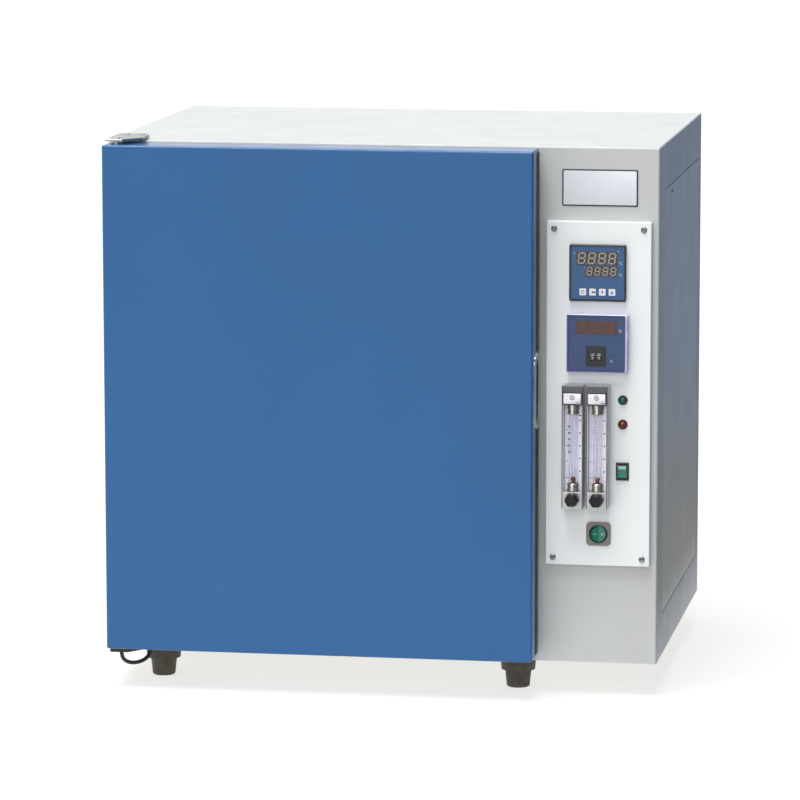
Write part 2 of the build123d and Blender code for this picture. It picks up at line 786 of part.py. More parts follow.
# Hinges of the outer door: plate over the top corner and bracket under the bottom corner
pivot_x = door_left_x + pivot_inset
pivot_y = door_back_y - pivot_depth
hinge_x0 = left_x + hinge_left
hinge_tip = pivot_y - hinge_nose
hinge_drop = cabinet_top + hinge_pad - door_top
bracket_top = door_bottom - bracket_gap
bracket_base = bracket_top - bracket_thickness
bracket_corner = 2


def hinge_outline(back_y, corner):
    """Corners of the plate seen from above: narrow over the pivot, wider towards the cabinet."""
    hinge_x1 = hinge_x0 + hinge_width
    return [(hinge_x0, back_y), (hinge_x1 - corner, back_y), (hinge_x1, back_y - 3 * corner),
            (hinge_x1, pivot_y + hinge_shoulder), (hinge_x0 + hinge_nose_width, hinge_tip),
            (hinge_x0, hinge_tip)]


with BuildPart() as door_hinges:
    with BuildSketch(Plane.XY.offset(cabinet_top + hinge_pad)):
        with BuildLine():
            Polyline(*hinge_outline(front_y + hinge_back, hinge_corner), close=True)
        make_face()
    extrude(amount=hinge_plate)
    chamfer(door_hinges.faces().sort_by(Axis.Z)[-1].edges(), hinge_plate / 5)
    slab_top(hinge_x0 + (hinge_width - hinge_corner) / 2, front_y + hinge_back / 2,
             hinge_width - hinge_corner, hinge_back - hinge_corner, cabinet_top, hinge_pad)
    post(pivot_x, pivot_y, washer_radius, door_top + fit, hinge_drop - fit)
    post(pivot_x, pivot_y, pivot_pin, door_top - pivot_reach, pivot_reach + hinge_drop)
    with BuildSketch(Plane.XY.offset(bracket_base)):
        with BuildLine():
            Polyline(*hinge_outline(front_y, bracket_corner), close=True)
        make_face()
    extrude(amount=bracket_thickness)
    slab_top(hinge_x0 + hinge_width / 2, front_y - bracket_flange / 2, hinge_width, bracket_flange,
             bracket_base, cabinet_bottom + bracket_flange_rise - bracket_base)
    post(pivot_x, pivot_y, washer_radius, bracket_top, door_bottom - fit - bracket_top)
    post(pivot_x, pivot_y, pivot_pin, bracket_top, door_bottom + pivot_reach - bracket_top)
    post(pivot_x, pivot_y, lead_radius + fit, bracket_base, door_bottom + pivot_reach - bracket_base,
         mode=Mode.SUBTRACT)
save(door_hinges, "door_hinges")

# Door shell: folded pan with sleeves for the hinge pins and a hole for the pull
pull_height = 100
pull_width = 32
pull_recess_height = 86
pull_recess_width = 20
pull_recess_depth = 14
pull_flange = 1.6
pull_wall = 1.2
pull_setback = 6
pull_rise = 20
pull_y = door_y + pull_setback
pull_z = door_z + pull_rise
sleeve_radius = 8
sleeve_end = 6
sleeve_length = pivot_reach + sleeve_end
with BuildPart() as door_shell:
    slab_front(door_x, door_z, door_width, door_height, door_front_y, door_thickness)
    fillet(door_shell.faces().sort_by(Axis.Y)[0].edges() + door_shell.edges().filter_by(Axis.Y), door_fold)
    slab_front(door_x, door_z, door_width - 2 * door_sheet, door_height - 2 * door_sheet,
               door_front_y + door_sheet, door_thickness, corner=door_fold - door_sheet, mode=Mode.SUBTRACT)
    for sleeve_base in (door_bottom, door_top - sleeve_length):
        post(pivot_x, pivot_y, sleeve_radius, sleeve_base, sleeve_length)
        post(pivot_x, pivot_y, pivot_pin + running, sleeve_base, sleeve_length, mode=Mode.SUBTRACT)
    with BuildSketch(Plane.YZ.offset(door_right_x - door_sheet)) as pull_hole:
        with Locations((pull_y, pull_z)):
            SlotOverall(pull_recess_height + 2 * (pull_wall + fit), pull_recess_width + 2 * (pull_wall + fit),
                        rotation=90)
    extrude(pull_hole.sketch, amount=door_sheet, mode=Mode.SUBTRACT)
save(door_shell, "door_shell")

# Recessed pull in the door's free edge
with BuildPart() as door_pull:
    with BuildSketch(Plane.YZ.offset(door_right_x)) as pull_face:
        with Locations((pull_y, pull_z)):
            SlotOverall(pull_height, pull_width, rotation=90)
    extrude(pull_face.sketch, amount=pull_flange)
    chamfer(door_pull.faces().sort_by(Axis.X)[-1].edges(), pull_flange / 2)
    with BuildSketch(Plane.YZ.offset(door_right_x)) as pull_cup:
        with Locations((pull_y, pull_z)):
            SlotOverall(pull_recess_height + 2 * pull_wall, pull_recess_width + 2 * pull_wall, rotation=90)
    extrude(pull_cup.sketch, amount=-(pull_recess_depth - pull_flange + pull_wall))
    with BuildSketch(Plane.YZ.offset(door_right_x + pull_flange)) as pull_recess:
        with Locations((pull_y, pull_z)):
            SlotOverall(pull_recess_height, pull_recess_width, rotation=90)
    extrude(pull_recess.sketch, amount=-pull_recess_depth, mode=Mode.SUBTRACT)
save(door_pull, "door_pull")

# Door liner: flat back sheet with a pressed plinth that stands in front of the mouth
plinth_margin = 7
plinth_width = mouth_width - 2 * plinth_margin
plinth_height = mouth_height - 2 * plinth_margin
plinth_rise = 7
plinth_taper = 30
liner_plate_width = door_width - 2 * (door_sheet + fit)
liner_plate_height = door_height - 2 * (door_sheet + fit)
with BuildPart() as door_liner:
    slab_front(door_x, door_z, liner_plate_width, liner_plate_height, door_back_y - door_sheet, door_sheet,
               corner=door_fold - door_sheet)
    with BuildSketch(Plane.XZ.offset(-door_back_y)) as plinth:
        with Locations((door_x, door_z)):
            RectangleRounded(plinth_width, plinth_height, chamber_corner)
    extrude(plinth.sketch, amount=-plinth_rise, taper=plinth_taper)
    with BuildSketch(Plane.XZ.offset(-(door_back_y - door_sheet))) as plinth_inside:
        with Locations((door_x, door_z)):
            RectangleRounded(plinth_width - 2 * door_sheet, plinth_height - 2 * door_sheet, chamber_corner)
    extrude(plinth_inside.sketch, amount=-plinth_rise, taper=plinth_taper, mode=Mode.SUBTRACT)
save(door_liner, "door_liner")

# Foam in the door, cut back round the sleeves and the pull
with BuildPart() as door_foam:
    foam_back_y = door_back_y - door_sheet
    slab_front(door_x, door_z, liner_plate_width, liner_plate_height, door_front_y + door_sheet,
               foam_back_y - door_front_y - door_sheet, corner=door_fold - door_sheet)
    for sleeve_base in (door_bottom, door_top - sleeve_length - fit):
        post(pivot_x, pivot_y, sleeve_radius + fit, sleeve_base, sleeve_length + fit, mode=Mode.SUBTRACT)
    with BuildSketch(Plane.YZ.offset(door_right_x)) as cup_room:
        with Locations((pull_y, pull_z)):
            SlotOverall(pull_recess_height + 2 * (pull_wall + fit), pull_recess_width + 2 * (pull_wall + fit),
                        rotation=90)
    extrude(cup_room.sketch, amount=-(pull_recess_depth + pull_wall), mode=Mode.SUBTRACT)
save(door_foam, "door_foam")

# Magnetic gasket of the outer door: clipped base, narrow neck and magnet head
gasket_base = 3.5
gasket_neck = 4
gasket_neck_inset = 5
gasket_head_inset = 1
gasket_corner = 6
with BuildPart() as door_gasket:
    gasket_head = door_gap - gasket_clearance - gasket_base - gasket_neck
    ring_width = door_width - 2 * gasket_inset
    ring_height = door_height - 2 * gasket_inset
    layer_y = door_back_y
    for depth, inset in ((gasket_base, 0), (gasket_neck, gasket_neck_inset), (gasket_head, gasket_head_inset)):
        slab_front(door_x, door_z, ring_width - 2 * inset, ring_height - 2 * inset, layer_y, depth,
                   corner=gasket_corner)
        slab_front(door_x, door_z, ring_width - 2 * gasket_width + 2 * inset,
                   ring_height - 2 * gasket_width + 2 * inset, layer_y, depth, corner=gasket_corner,
                   mode=Mode.SUBTRACT)
        layer_y += depth
save(door_gasket, "door_gasket")

# Lead of the door heater: comes down through the hollow lower pin and loops back up into the base pan
lead_points = [
    (pivot_x, pivot_y, bracket_base + bracket_thickness / 2),
    (pivot_x, pivot_y, 38),
    (-340, -273, 29.5),
    (-332, -262, 26.5),
    (-324, -249.5, 27),
    (-319, -238, 31),
    (lead_exit_x, lead_exit_y, 38),
    (lead_exit_x, lead_exit_y, pan_top),
]


def bend_radii(points):
    """One radius for each corner: 0.45 of the shorter run over the tangent of half the turn."""
    vectors = [Vector(*point) for point in points]
    radii = []
    for before, corner, after in zip(vectors, vectors[1:], vectors[2:]):
        arriving = corner - before
        leaving = after - corner
        turn = radians(arriving.get_angle(leaving))
        radii.append(0.45 * min(arriving.length, leaving.length) / tan(turn / 2))
    return radii


lead_radii = bend_radii(lead_points)
print("door lead radii", [round(radius, 1) for radius in lead_radii])
with BuildPart() as door_lead:
    with BuildLine() as lead_path:
        FilletPolyline(*lead_points, radius=lead_radii)
    with BuildSketch(Plane(origin=lead_path.line @ 0, z_dir=lead_path.line % 0)):
        Circle(lead_radius)
    sweep()
lead_length = sum(edge.length for edge in lead_path.edges())
lead_section = pi * lead_radius ** 2
print("door lead length", round(lead_length, 1),
      "volume ratio", round(door_lead.part.volume / (lead_section * lead_length), 4))
save(door_lead, "door_lead")

# Control panel: shallow folded pan on the casing, with cut-outs for the instruments
panel_corner = 2
panel_fold = 1.2
screw_out = panel_width / 2 - screw_inset
screw_up = panel_height / 2 - screw_inset
screw_spots = [(panel_x + side_x * screw_out, panel_z + side_z * screw_up) for side_x in (-1, 1) for side_z in (-1, 1)]
with BuildPart() as control_panel:
    slab_front(panel_x, panel_z, panel_width, panel_height, panel_front_y, panel_rise, corner=panel_corner)
    fillet(control_panel.faces().sort_by(Axis.Y)[0].edges(), panel_fold)
    slab_front(panel_x, panel_z, panel_width - 2 * panel_sheet, panel_height - 2 * panel_sheet,
               panel_front_y + panel_sheet, panel_rise, corner=panel_corner - panel_sheet, mode=Mode.SUBTRACT)
    slab_front(temperature_x, temperature_z, temperature_body + 2 * fit, temperature_body + 2 * fit,
               panel_front_y, panel_sheet, mode=Mode.SUBTRACT)
    slab_front(gas_x, gas_z, gas_body + 2 * fit, gas_body + 2 * fit, panel_front_y, panel_sheet,
               mode=Mode.SUBTRACT)
    for lamp_z in (green_lamp_z, red_lamp_z):
        rod(lamp_x, lamp_z, lamp_radius + running, panel_front_y, panel_sheet, mode=Mode.SUBTRACT)
    slab_front(rocker_x, rocker_z, rocker_width + 2 * (bezel_wall + fit), 2 * (rocker_reach + bezel_wall + fit),
               panel_front_y, panel_sheet, mode=Mode.SUBTRACT)
    rod(main_switch_x, main_switch_z, main_rocker_reach + main_barrel_wall + fit, panel_front_y, panel_sheet,
        mode=Mode.SUBTRACT)
    for screw_x, screw_z in screw_spots:
        rod(screw_x, screw_z, shank_radius + running, panel_front_y, panel_sheet, mode=Mode.SUBTRACT)
save(control_panel, "control_panel")

# Screws that hold the control panel to the casing
with BuildPart() as panel_screws:
    for screw_x, screw_z in screw_spots:
        rod(screw_x, screw_z, screw_radius, panel_front_y - screw_rise, screw_rise)
        rod(screw_x, screw_z, shank_radius, panel_front_y, panel_rise)
    chamfer(panel_screws.faces().group_by(Axis.Y)[0].edges(), screw_rise / 2.4)
save(panel_screws, "panel_screws")

# Temperature controller: square bezel, recessed face with key pockets, body behind the panel
bezel_corner = 2
temperature_chamfer = 0.6
key_pocket = key_thickness - key_rise + key_travel + fit
key_xs = [temperature_x + (step - (key_count - 1) / 2) * key_pitch for step in range(key_count)]
key_z = temperature_z - key_drop
temperature_face_y = temperature_front_y + face_recess
with BuildPart() as temperature_controller:
    slab_front(temperature_x, temperature_z, temperature_size, temperature_size, temperature_front_y,
               temperature_rise, corner=bezel_corner)
    chamfer(temperature_controller.faces().sort_by(Axis.Y)[0].edges(), temperature_chamfer)
    face_size = temperature_size - 2 * temperature_rim
    slab_front(temperature_x, temperature_z, face_size, face_size, temperature_front_y, face_recess,
               corner=bezel_corner / 2, mode=Mode.SUBTRACT)
    slab_front(temperature_x, temperature_z, temperature_body, temperature_body, panel_front_y,
               temperature_reach)
    for key_x in key_xs:
        slab_front(key_x, key_z, key_size + 2 * fit, key_size + 2 * fit, temperature_face_y, key_pocket,
                   mode=Mode.SUBTRACT)
save(temperature_controller, "temperature_controller")

# Setting keys, which travel into their pockets
key_corner = 1
key_edge = 0.4
for number, key_x in enumerate(key_xs, start=1):
    with BuildPart() as key:
        slab_front(key_x, key_z, key_size, key_size, temperature_face_y - key_rise, key_thickness,
                   corner=key_corner)
        fillet(key.faces().sort_by(Axis.Y)[0].edges(), key_edge)
    save(key, f"set_key_{number}")

# Gas controller: deep bezel with a recessed face and a two-digit thumbwheel block
gas_chamfer = 1
wheel_end = 0.8
wheel_x = gas_x + wheel_offset
wheel_z = gas_z - wheel_drop
gas_face_y = gas_front_y + face_recess
block_front_y = gas_face_y - wheel_block_rise
wheel_y = block_front_y + wheel_radius - wheel_show
wheel_xs = [wheel_x - wheel_pitch / 2, wheel_x + wheel_pitch / 2]
with BuildPart() as gas_controller:
    slab_front(gas_x, gas_z, gas_width, gas_height, gas_front_y, gas_rise, corner=bezel_corner)
    chamfer(gas_controller.faces().sort_by(Axis.Y)[0].edges(), gas_chamfer)
    slab_front(gas_x, gas_z, gas_width - 2 * gas_rim, gas_height - 2 * gas_rim, gas_front_y, face_recess,
               corner=bezel_corner / 2, mode=Mode.SUBTRACT)
    slab_front(gas_x, gas_z, gas_body, gas_body, panel_front_y, gas_reach)
    slab_front(wheel_x, wheel_z, wheel_block, wheel_block, block_front_y, wheel_block_rise)
    for one_x in wheel_xs:
        start_x = one_x - wheel_width / 2 - fit
        axle(wheel_y, wheel_z, wheel_radius + wheel_room, start_x, wheel_width + 2 * fit, mode=Mode.SUBTRACT)
        axle(wheel_y, wheel_z, wheel_pin + running, start_x - wheel_end - running,
             wheel_width + 2 * (fit + wheel_end + running), mode=Mode.SUBTRACT)
save(gas_controller, "gas_controller")

# Thumbwheels: faceted wheels with short pins in the block's side walls
for wheel_name, one_x in zip(("thumbwheel_tens", "thumbwheel_units"), wheel_xs):
    with BuildPart() as thumbwheel:
        with BuildSketch(Plane.YZ.offset(one_x - wheel_width / 2)) as rim:
            with Locations((wheel_y, wheel_z)):
                RegularPolygon(wheel_radius, wheel_sides)
        extrude(rim.sketch, amount=wheel_width)
        axle(wheel_y, wheel_z, wheel_pin, one_x - wheel_width / 2 - fit - wheel_end,
             wheel_width + 2 * (fit + wheel_end))
    save(thumbwheel, wheel_name)

# Flowmeter cases: back channel with cap and valve block; two alike stand side by side
with BuildPart() as flowmeter_cases:
    for flow_x in flow_xs:
        slab_front(flow_x, flow_z, flow_width, flow_height, flow_front_y, flow_rise)
        slab_front(flow_x, window_z, window_width, window_height, flow_front_y, window_depth, mode=Mode.SUBTRACT)
        cap_z = flow_top - window_top / 2
        slab_front(flow_x, cap_z, window_width, cap_height, flow_front_y - cap_rise, cap_rise)
        rod(flow_x, cap_z, cap_screw, flow_front_y - 2 * cap_rise, cap_rise)
        rod(flow_x, knob_z, stem_radius + running, flow_front_y, stem_length + pin_end_gap, mode=Mode.SUBTRACT)
save(flowmeter_cases, "flowmeter_cases")

# Clear metering tubes: blocks with a bore for the float, seated in the windows
tube_front_y = flow_front_y + window_depth - tube_depth
tube_y = tube_front_y + tube_depth / 2
bore_bottom = window_z - window_height / 2 + tube_end
bore_height = window_height - 2 * tube_end
with BuildPart() as metering_tubes:
    for flow_x in flow_xs:
        slab_front(flow_x, window_z, window_width, window_height, tube_front_y, tube_depth)
        post(flow_x, tube_y, tube_bore, bore_bottom, bore_height, mode=Mode.SUBTRACT)
save(metering_tubes, "metering_tubes")

# Floats that rise in the tubes, and the lobed valve knobs
float_tip = 1.2
float_cone = 5
float_edge = 0.8
knob_edge = 0.8
for side_name, flow_x in zip(("left", "right"), flow_xs):
    with BuildPart() as flow_float:
        with BuildSketch(Plane.XZ):
            with BuildLine():
                Polyline((0, 0), (float_tip, 0), (float_radius, float_cone),
                         (float_radius, float_height - float_edge),
                         (float_radius - float_edge, float_height), (0, float_height), close=True)
            make_face()
        revolve(axis=Axis.Z)
    with BuildPart() as placed_float:
        with Locations((flow_x, tube_y, bore_bottom + float_rest)):
            add(flow_float.part)
    save(placed_float, f"flow_float_{side_name}")

    with BuildPart() as flow_knob:
        with BuildSketch(front_plane(flow_front_y - fit)) as grip:
            with Locations((flow_x, knob_z)):
                Circle(knob_radius)
                with PolarLocations(knob_radius + lobe_offset, lobe_count, start_angle=180 / lobe_count):
                    Circle(lobe_radius, mode=Mode.SUBTRACT)
        extrude(grip.sketch, amount=knob_length)
        chamfer(flow_knob.faces().sort_by(Axis.Y)[0].edges(), knob_edge)
        rod(flow_x, knob_z, stem_radius, flow_front_y - fit, stem_length + fit)
    save(flow_knob, f"flow_knob_{side_name}")

# Pilot lamps: collar on the panel, domed lens in front and body behind
for lamp_name, lamp_z in (("lamp_green", green_lamp_z), ("lamp_red", red_lamp_z)):
    with BuildPart() as lamp:
        rod(lamp_x, lamp_z, lamp_bezel, panel_front_y - lamp_collar, lamp_collar)
        rod(lamp_x, lamp_z, lamp_radius, panel_front_y - lamp_collar - lamp_rise, lamp_rise)
        fillet(lamp.faces().sort_by(Axis.Y)[0].edges(), lamp_radius / 2)
        rod(lamp_x, lamp_z, lamp_radius, panel_front_y, lamp_body)
    save(lamp, lamp_name)

# Rocker switch for the fan: rectangular bezel with bearings for the rocker's pins
bezel_edge = 0.5
rocker_pivot_y = panel_front_y
pin_room = switch_pin_length + running
with BuildPart() as rocker_bezel:
    slab_front(rocker_x, rocker_z, rocker_width + 2 * bezel_border, 2 * (rocker_reach + bezel_border),
               panel_front_y - bezel_rise, bezel_rise, corner=2 * bezel_edge)
    chamfer(rocker_bezel.faces().sort_by(Axis.Y)[0].edges(), bezel_edge)
    slab_front(rocker_x, rocker_z, rocker_width + 2 * bezel_wall, 2 * (rocker_reach + bezel_wall), panel_front_y,
               switch_body)
    slab_front(rocker_x, rocker_z, rocker_width + 2 * fit, 2 * (rocker_reach + fit), panel_front_y - bezel_rise,
               switch_cavity, mode=Mode.SUBTRACT)
    axle(rocker_pivot_y, rocker_z, switch_pin + running, rocker_x - rocker_width / 2 - fit - pin_room,
         rocker_width + 2 * (fit + pin_room), mode=Mode.SUBTRACT)
save(rocker_bezel, "rocker_bezel")


def rocker_outline(reach, hollow, rise):
    """Side outline of a rocker, X towards the user: round behind, with a shallow V for the finger in front."""
    half_height = sqrt(reach ** 2 - rise ** 2)
    with BuildSketch(Plane.XY) as outline:
        Circle(reach)
        with Locations((-rocker_back - reach / 2, 0)):
            Rectangle(reach, 2 * reach, mode=Mode.SUBTRACT)
        with BuildLine():
            Polyline((hollow, 0), (rise, half_height), (2 * reach, half_height), (2 * reach, -half_height),
                     (rise, -half_height), close=True)
        make_face(mode=Mode.SUBTRACT)
    return outline.sketch


# Rocker of the fan switch, tipped to off; it rocks up and down on its pins
tilt = radians(rocker_tilt)
with BuildPart() as fan_rocker:
    with BuildSketch(Plane(origin=(rocker_x + rocker_width / 2, rocker_pivot_y, rocker_z),
                           x_dir=(0, -cos(tilt), -sin(tilt)), z_dir=(-1, 0, 0))):
        add(rocker_outline(rocker_reach, rocker_hollow, rocker_crest))
    extrude(amount=rocker_width)
    axle(rocker_pivot_y, rocker_z, switch_pin, rocker_x - rocker_width / 2 - fit - switch_pin_length,
         rocker_width + 2 * (fit + switch_pin_length))
save(fan_rocker, "fan_rocker")

# Main switch: rounded square plate with a round barrel for the rocker
main_plate_corner = 5
main_plate_edge = 0.8
main_plate_y = panel_front_y - main_plate_rise
main_pivot_y = panel_front_y - 0.5
with BuildPart() as main_switch:
    slab_front(main_switch_x, main_switch_z, main_plate_width, main_plate_height, main_plate_y, main_plate_rise,
               corner=main_plate_corner)
    chamfer(main_switch.faces().sort_by(Axis.Y)[0].edges(), main_plate_edge)
    rod(main_switch_x, main_switch_z, main_rocker_reach + main_barrel_wall, panel_front_y, switch_body)
    rod(main_switch_x, main_switch_z, main_rocker_reach + fit, main_plate_y, switch_cavity, mode=Mode.SUBTRACT)
    post(main_switch_x, main_pivot_y, switch_pin + running, main_switch_z - main_rocker_reach - fit - pin_room,
         2 * (main_rocker_reach + fit + pin_room), mode=Mode.SUBTRACT)
save(main_switch, "main_switch")

# Rocker of the main switch, tipped to off; it rocks left and right. It is cut from a slightly larger round by a
# ball, so that its rim can swing in the round barrel.
main_rocker_spare = 1
with BuildPart() as main_rocker:
    with BuildSketch(Plane(origin=(main_switch_x, main_pivot_y, main_switch_z - main_rocker_reach),
                           x_dir=(sin(tilt), -cos(tilt), 0), z_dir=(0, 0, 1))):
        add(rocker_outline(main_rocker_reach + main_rocker_spare, main_rocker_hollow, main_rocker_crest))
    extrude(amount=2 * main_rocker_reach)
    with Locations((main_switch_x, main_pivot_y, main_switch_z)):
        Sphere(main_rocker_reach, mode=Mode.INTERSECT)
    post(main_switch_x, main_pivot_y, switch_pin, main_switch_z - main_rocker_reach - fit - switch_pin_length,
         2 * (main_rocker_reach + fit + switch_pin_length))
save(main_rocker, "main_rocker")

# Transformer on the base pan: laminated core on a foot plate, with a rounded winding
transformer_setback = 120
core_width = 84
core_length = 60
core_height = 68
winding_height = 40
winding_corner = 6
foot_plate_width = 104
foot_plate = 3
transformer_y = rear_y - transformer_setback
with BuildPart() as transformer:
    slab_top(bay_x, transformer_y, core_width, core_length, pan_top, core_height)
    slab_top(bay_x, transformer_y, core_length, core_width, pan_top + (core_height - winding_height) / 2,
             winding_height, corner=winding_corner)
    slab_top(bay_x, transformer_y, foot_plate_width, core_length, pan_top, foot_plate)
save(transformer, "transformer")

# Gas valve behind the inlet: body, coil and bracket on the partition
valve_setback = 60
valve_width = 26
valve_length = 40
coil_radius = 15
coil_height = 34
coil_cap_radius = 6
coil_cap_height = 5
valve_bracket = 3
valve_bracket_width = 20
valve_y = rear_y - valve_setback
with BuildPart() as solenoid_valve:
    slab_top(gas_inlet_x, valve_y, valve_width, valve_length, gas_inlet_z - valve_width / 2, valve_width)
    post(gas_inlet_x, valve_y, coil_radius, gas_inlet_z + valve_width / 2, coil_height)
    post(gas_inlet_x, valve_y, coil_cap_radius, gas_inlet_z + valve_width / 2 + coil_height, coil_cap_height)
    slab_top((bay_left + gas_inlet_x) / 2, valve_y, gas_inlet_x - bay_left, valve_bracket_width,
             gas_inlet_z - valve_width / 2 - valve_bracket, valve_bracket)
save(solenoid_valve, "solenoid_valve")

# Rear cover with hooded louvres over the bay and holes for what passes through
inlet_x = bay_x
inlet_z = cabinet_bottom + mains_inlet_height
inlet_width = 50
inlet_height = 30
inlet_border = 2
cover_width = cabinet_width - 2 * (sheet + fit)
cover_height = cabinet_height - sheet - fit
cover_y = rear_y - sheet
louvre_z = cabinet_bottom + louvre_height
with BuildPart() as rear_cover:
    slab_front(0, cabinet_bottom + cover_height / 2, cover_width, cover_height, cover_y, sheet)
    inlet_room = 2 * fit - 2 * inlet_border
    slab_front(inlet_x, inlet_z, inlet_width + inlet_room, inlet_height + inlet_room, cover_y, sheet,
               mode=Mode.SUBTRACT)
    for port_x, port_z in hose_spots + [(drain_x, drain_z), (gas_inlet_x, gas_inlet_z)]:
        rod(port_x, port_z, nozzle_radius + fit, cover_y, sheet, mode=Mode.SUBTRACT)
    for step in range(louvre_count):
        hood_z = louvre_z + (step - (louvre_count - 1) / 2) * louvre_pitch
        slab_front(bay_x, hood_z, louvre_width, louvre_slot, cover_y, sheet, mode=Mode.SUBTRACT)
        slot_top = hood_z + louvre_slot / 2
        lip_z = hood_z - louvre_slot / 2
        with BuildSketch(Plane.YZ.offset(bay_x - louvre_width / 2)) as hood:
            with BuildLine():
                Polyline((cover_y, slot_top), (cover_y, slot_top + sheet), (rear_y, slot_top + sheet),
                         (rear_y + louvre_hood, lip_z + louvre_lip), (rear_y + louvre_hood, lip_z),
                         (rear_y + louvre_hood - sheet, lip_z),
                         (rear_y + louvre_hood - sheet, lip_z + louvre_lip / 2),
                         (rear_y, slot_top - sheet / 2), close=True)
            make_face()
        extrude(hood.sketch, amount=louvre_width)
save(rear_cover, "rear_cover")

# Hose tails at the back: gas inlet from its valve, water filler and overflow from the jacket
with BuildPart() as hose_tails:
    for port_x, port_z, inner_y in ([(x, z, jacket_back_y) for x, z in hose_spots]
                                    + [(gas_inlet_x, gas_inlet_z, valve_y + valve_length / 2)]):
        rod(port_x, port_z, nozzle_radius, inner_y, rear_y + tail_length - inner_y)
        rod(port_x, port_z, nozzle_flange, rear_y, flange_thickness)
        rod(port_x, port_z, nozzle_bore, inner_y, rear_y + tail_length - inner_y, mode=Mode.SUBTRACT)
save(hose_tails, "hose_tails")

# Drain valve low on the back
valve_out = 16
valve_body = 9
stem_boss = 4
stem_boss_rise = 4
lever_stem = 2
stem_depth = 3.5
drain_valve_y = rear_y + valve_out
with BuildPart() as drain_valve:
    rod(drain_x, drain_z, nozzle_radius, jacket_back_y, rear_y + rear_reach - jacket_back_y)
    rod(drain_x, drain_z, nozzle_flange, rear_y, flange_thickness)
    slab_front(drain_x, drain_z, 2 * valve_body, 2 * valve_body, drain_valve_y - valve_body, 2 * valve_body)
    rod(drain_x, drain_z, nozzle_bore, jacket_back_y, rear_y + rear_reach - jacket_back_y, mode=Mode.SUBTRACT)
    post(drain_x, drain_valve_y, stem_boss, drain_z + valve_body, stem_boss_rise)
    post(drain_x, drain_valve_y, lever_stem + running, drain_z + valve_body - stem_depth - fit,
         stem_boss_rise + stem_depth + fit, mode=Mode.SUBTRACT)
save(drain_valve, "drain_valve")

# Quarter-turn lever of the drain valve, across the outlet when closed
lever_length = 44
lever_width = 10
lever_thickness = 2.5
lever_corner = 4
lever_nut = 3.5
lever_nut_rise = 2
with BuildPart() as drain_lever:
    lever_z = drain_z + valve_body + stem_boss_rise + fit
    slab_top(drain_x + (lever_length - lever_width) / 2, drain_valve_y, lever_length, lever_width, lever_z,
             lever_thickness, corner=lever_corner)
    post(drain_x, drain_valve_y, lever_stem, drain_z + valve_body - stem_depth, stem_depth + stem_boss_rise + fit)
    post(drain_x, drain_valve_y, lever_nut, lever_z + lever_thickness, lever_nut_rise)
save(drain_lever, "drain_lever")

# Mains inlet: flanged body with a three-pin socket
inlet_body = 24
inlet_flange = 2.5
inlet_corner = 3
socket_width = 24
socket_height = 16
socket_depth = 15
pin_width = 2
pin_height = 4
pin_setback = 5
pin_spread = 7
pin_offset = 2
with BuildPart() as mains_inlet:
    slab_front(inlet_x, inlet_z, inlet_width - 2 * inlet_border, inlet_height - 2 * inlet_border,
               rear_y - inlet_body, inlet_body)
    slab_front(inlet_x, inlet_z, inlet_width, inlet_height, rear_y, inlet_flange, corner=inlet_corner)
    socket_bottom_y = rear_y + inlet_flange - socket_depth
    slab_front(inlet_x, inlet_z, socket_width, socket_height, socket_bottom_y, socket_depth, mode=Mode.SUBTRACT)
    for pin_x, pin_z in ((-pin_spread, -pin_offset), (pin_spread, -pin_offset), (0, pin_offset)):
        slab_front(inlet_x + pin_x, inlet_z + pin_z, pin_width, pin_height, socket_bottom_y,
                   socket_depth - pin_setback)
save(mains_inlet, "mains_inlet")
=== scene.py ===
"""Dresses the carbon dioxide incubator for its studio picture. Metres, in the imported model's own frame."""
from math import cos, pi, radians, sin

import bmesh
import bpy
import numpy as np
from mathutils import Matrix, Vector


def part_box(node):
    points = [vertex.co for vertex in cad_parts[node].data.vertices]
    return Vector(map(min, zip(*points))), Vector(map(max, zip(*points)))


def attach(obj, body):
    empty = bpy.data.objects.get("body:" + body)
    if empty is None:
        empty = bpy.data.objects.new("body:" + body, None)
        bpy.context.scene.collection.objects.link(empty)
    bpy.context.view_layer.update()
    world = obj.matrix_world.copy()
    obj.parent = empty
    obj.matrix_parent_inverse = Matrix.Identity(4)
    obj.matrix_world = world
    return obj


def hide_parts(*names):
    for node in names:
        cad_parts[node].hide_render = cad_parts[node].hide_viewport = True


bl_info = {
    "name": "Carbon Dioxide Incubator",
    "version": (1, 0, 0),
    "blender": (4, 5, 0),
    "location": "View3D > Sidebar > Incubator",
    "description": "Finishes, instruments and small parts of a laboratory incubator",
    "category": "Add Mesh",
}

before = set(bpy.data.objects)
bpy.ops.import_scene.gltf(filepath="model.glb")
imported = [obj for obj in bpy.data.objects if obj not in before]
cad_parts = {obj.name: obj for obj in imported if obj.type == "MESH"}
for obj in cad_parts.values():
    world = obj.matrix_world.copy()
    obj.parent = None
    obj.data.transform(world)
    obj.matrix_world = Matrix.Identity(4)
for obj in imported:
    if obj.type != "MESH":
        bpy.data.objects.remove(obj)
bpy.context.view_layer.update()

MM = 0.001
RIGHT, BACK, UP = np.eye(3)
FRONT_VIEW = (RIGHT, UP, -BACK)
SIDE_VIEW = (BACK, UP, RIGHT)
REAR_VIEW = (-RIGHT, UP, BACK)
TOP_VIEW = (RIGHT, BACK, UP)

# How far print and a display's bars stand out, and where the flowmeters' fronts are in millimetres
PRINT_THICKNESS = 0.00012
BAR_THICKNESS = 0.0003
MOUNT_Y = -279

# A flowmeter's scale
SCALE_TICKS, TICK_STEP = 21, 0.0042
SCALE_DOTS, DOT_STEP = 34, 0.0027

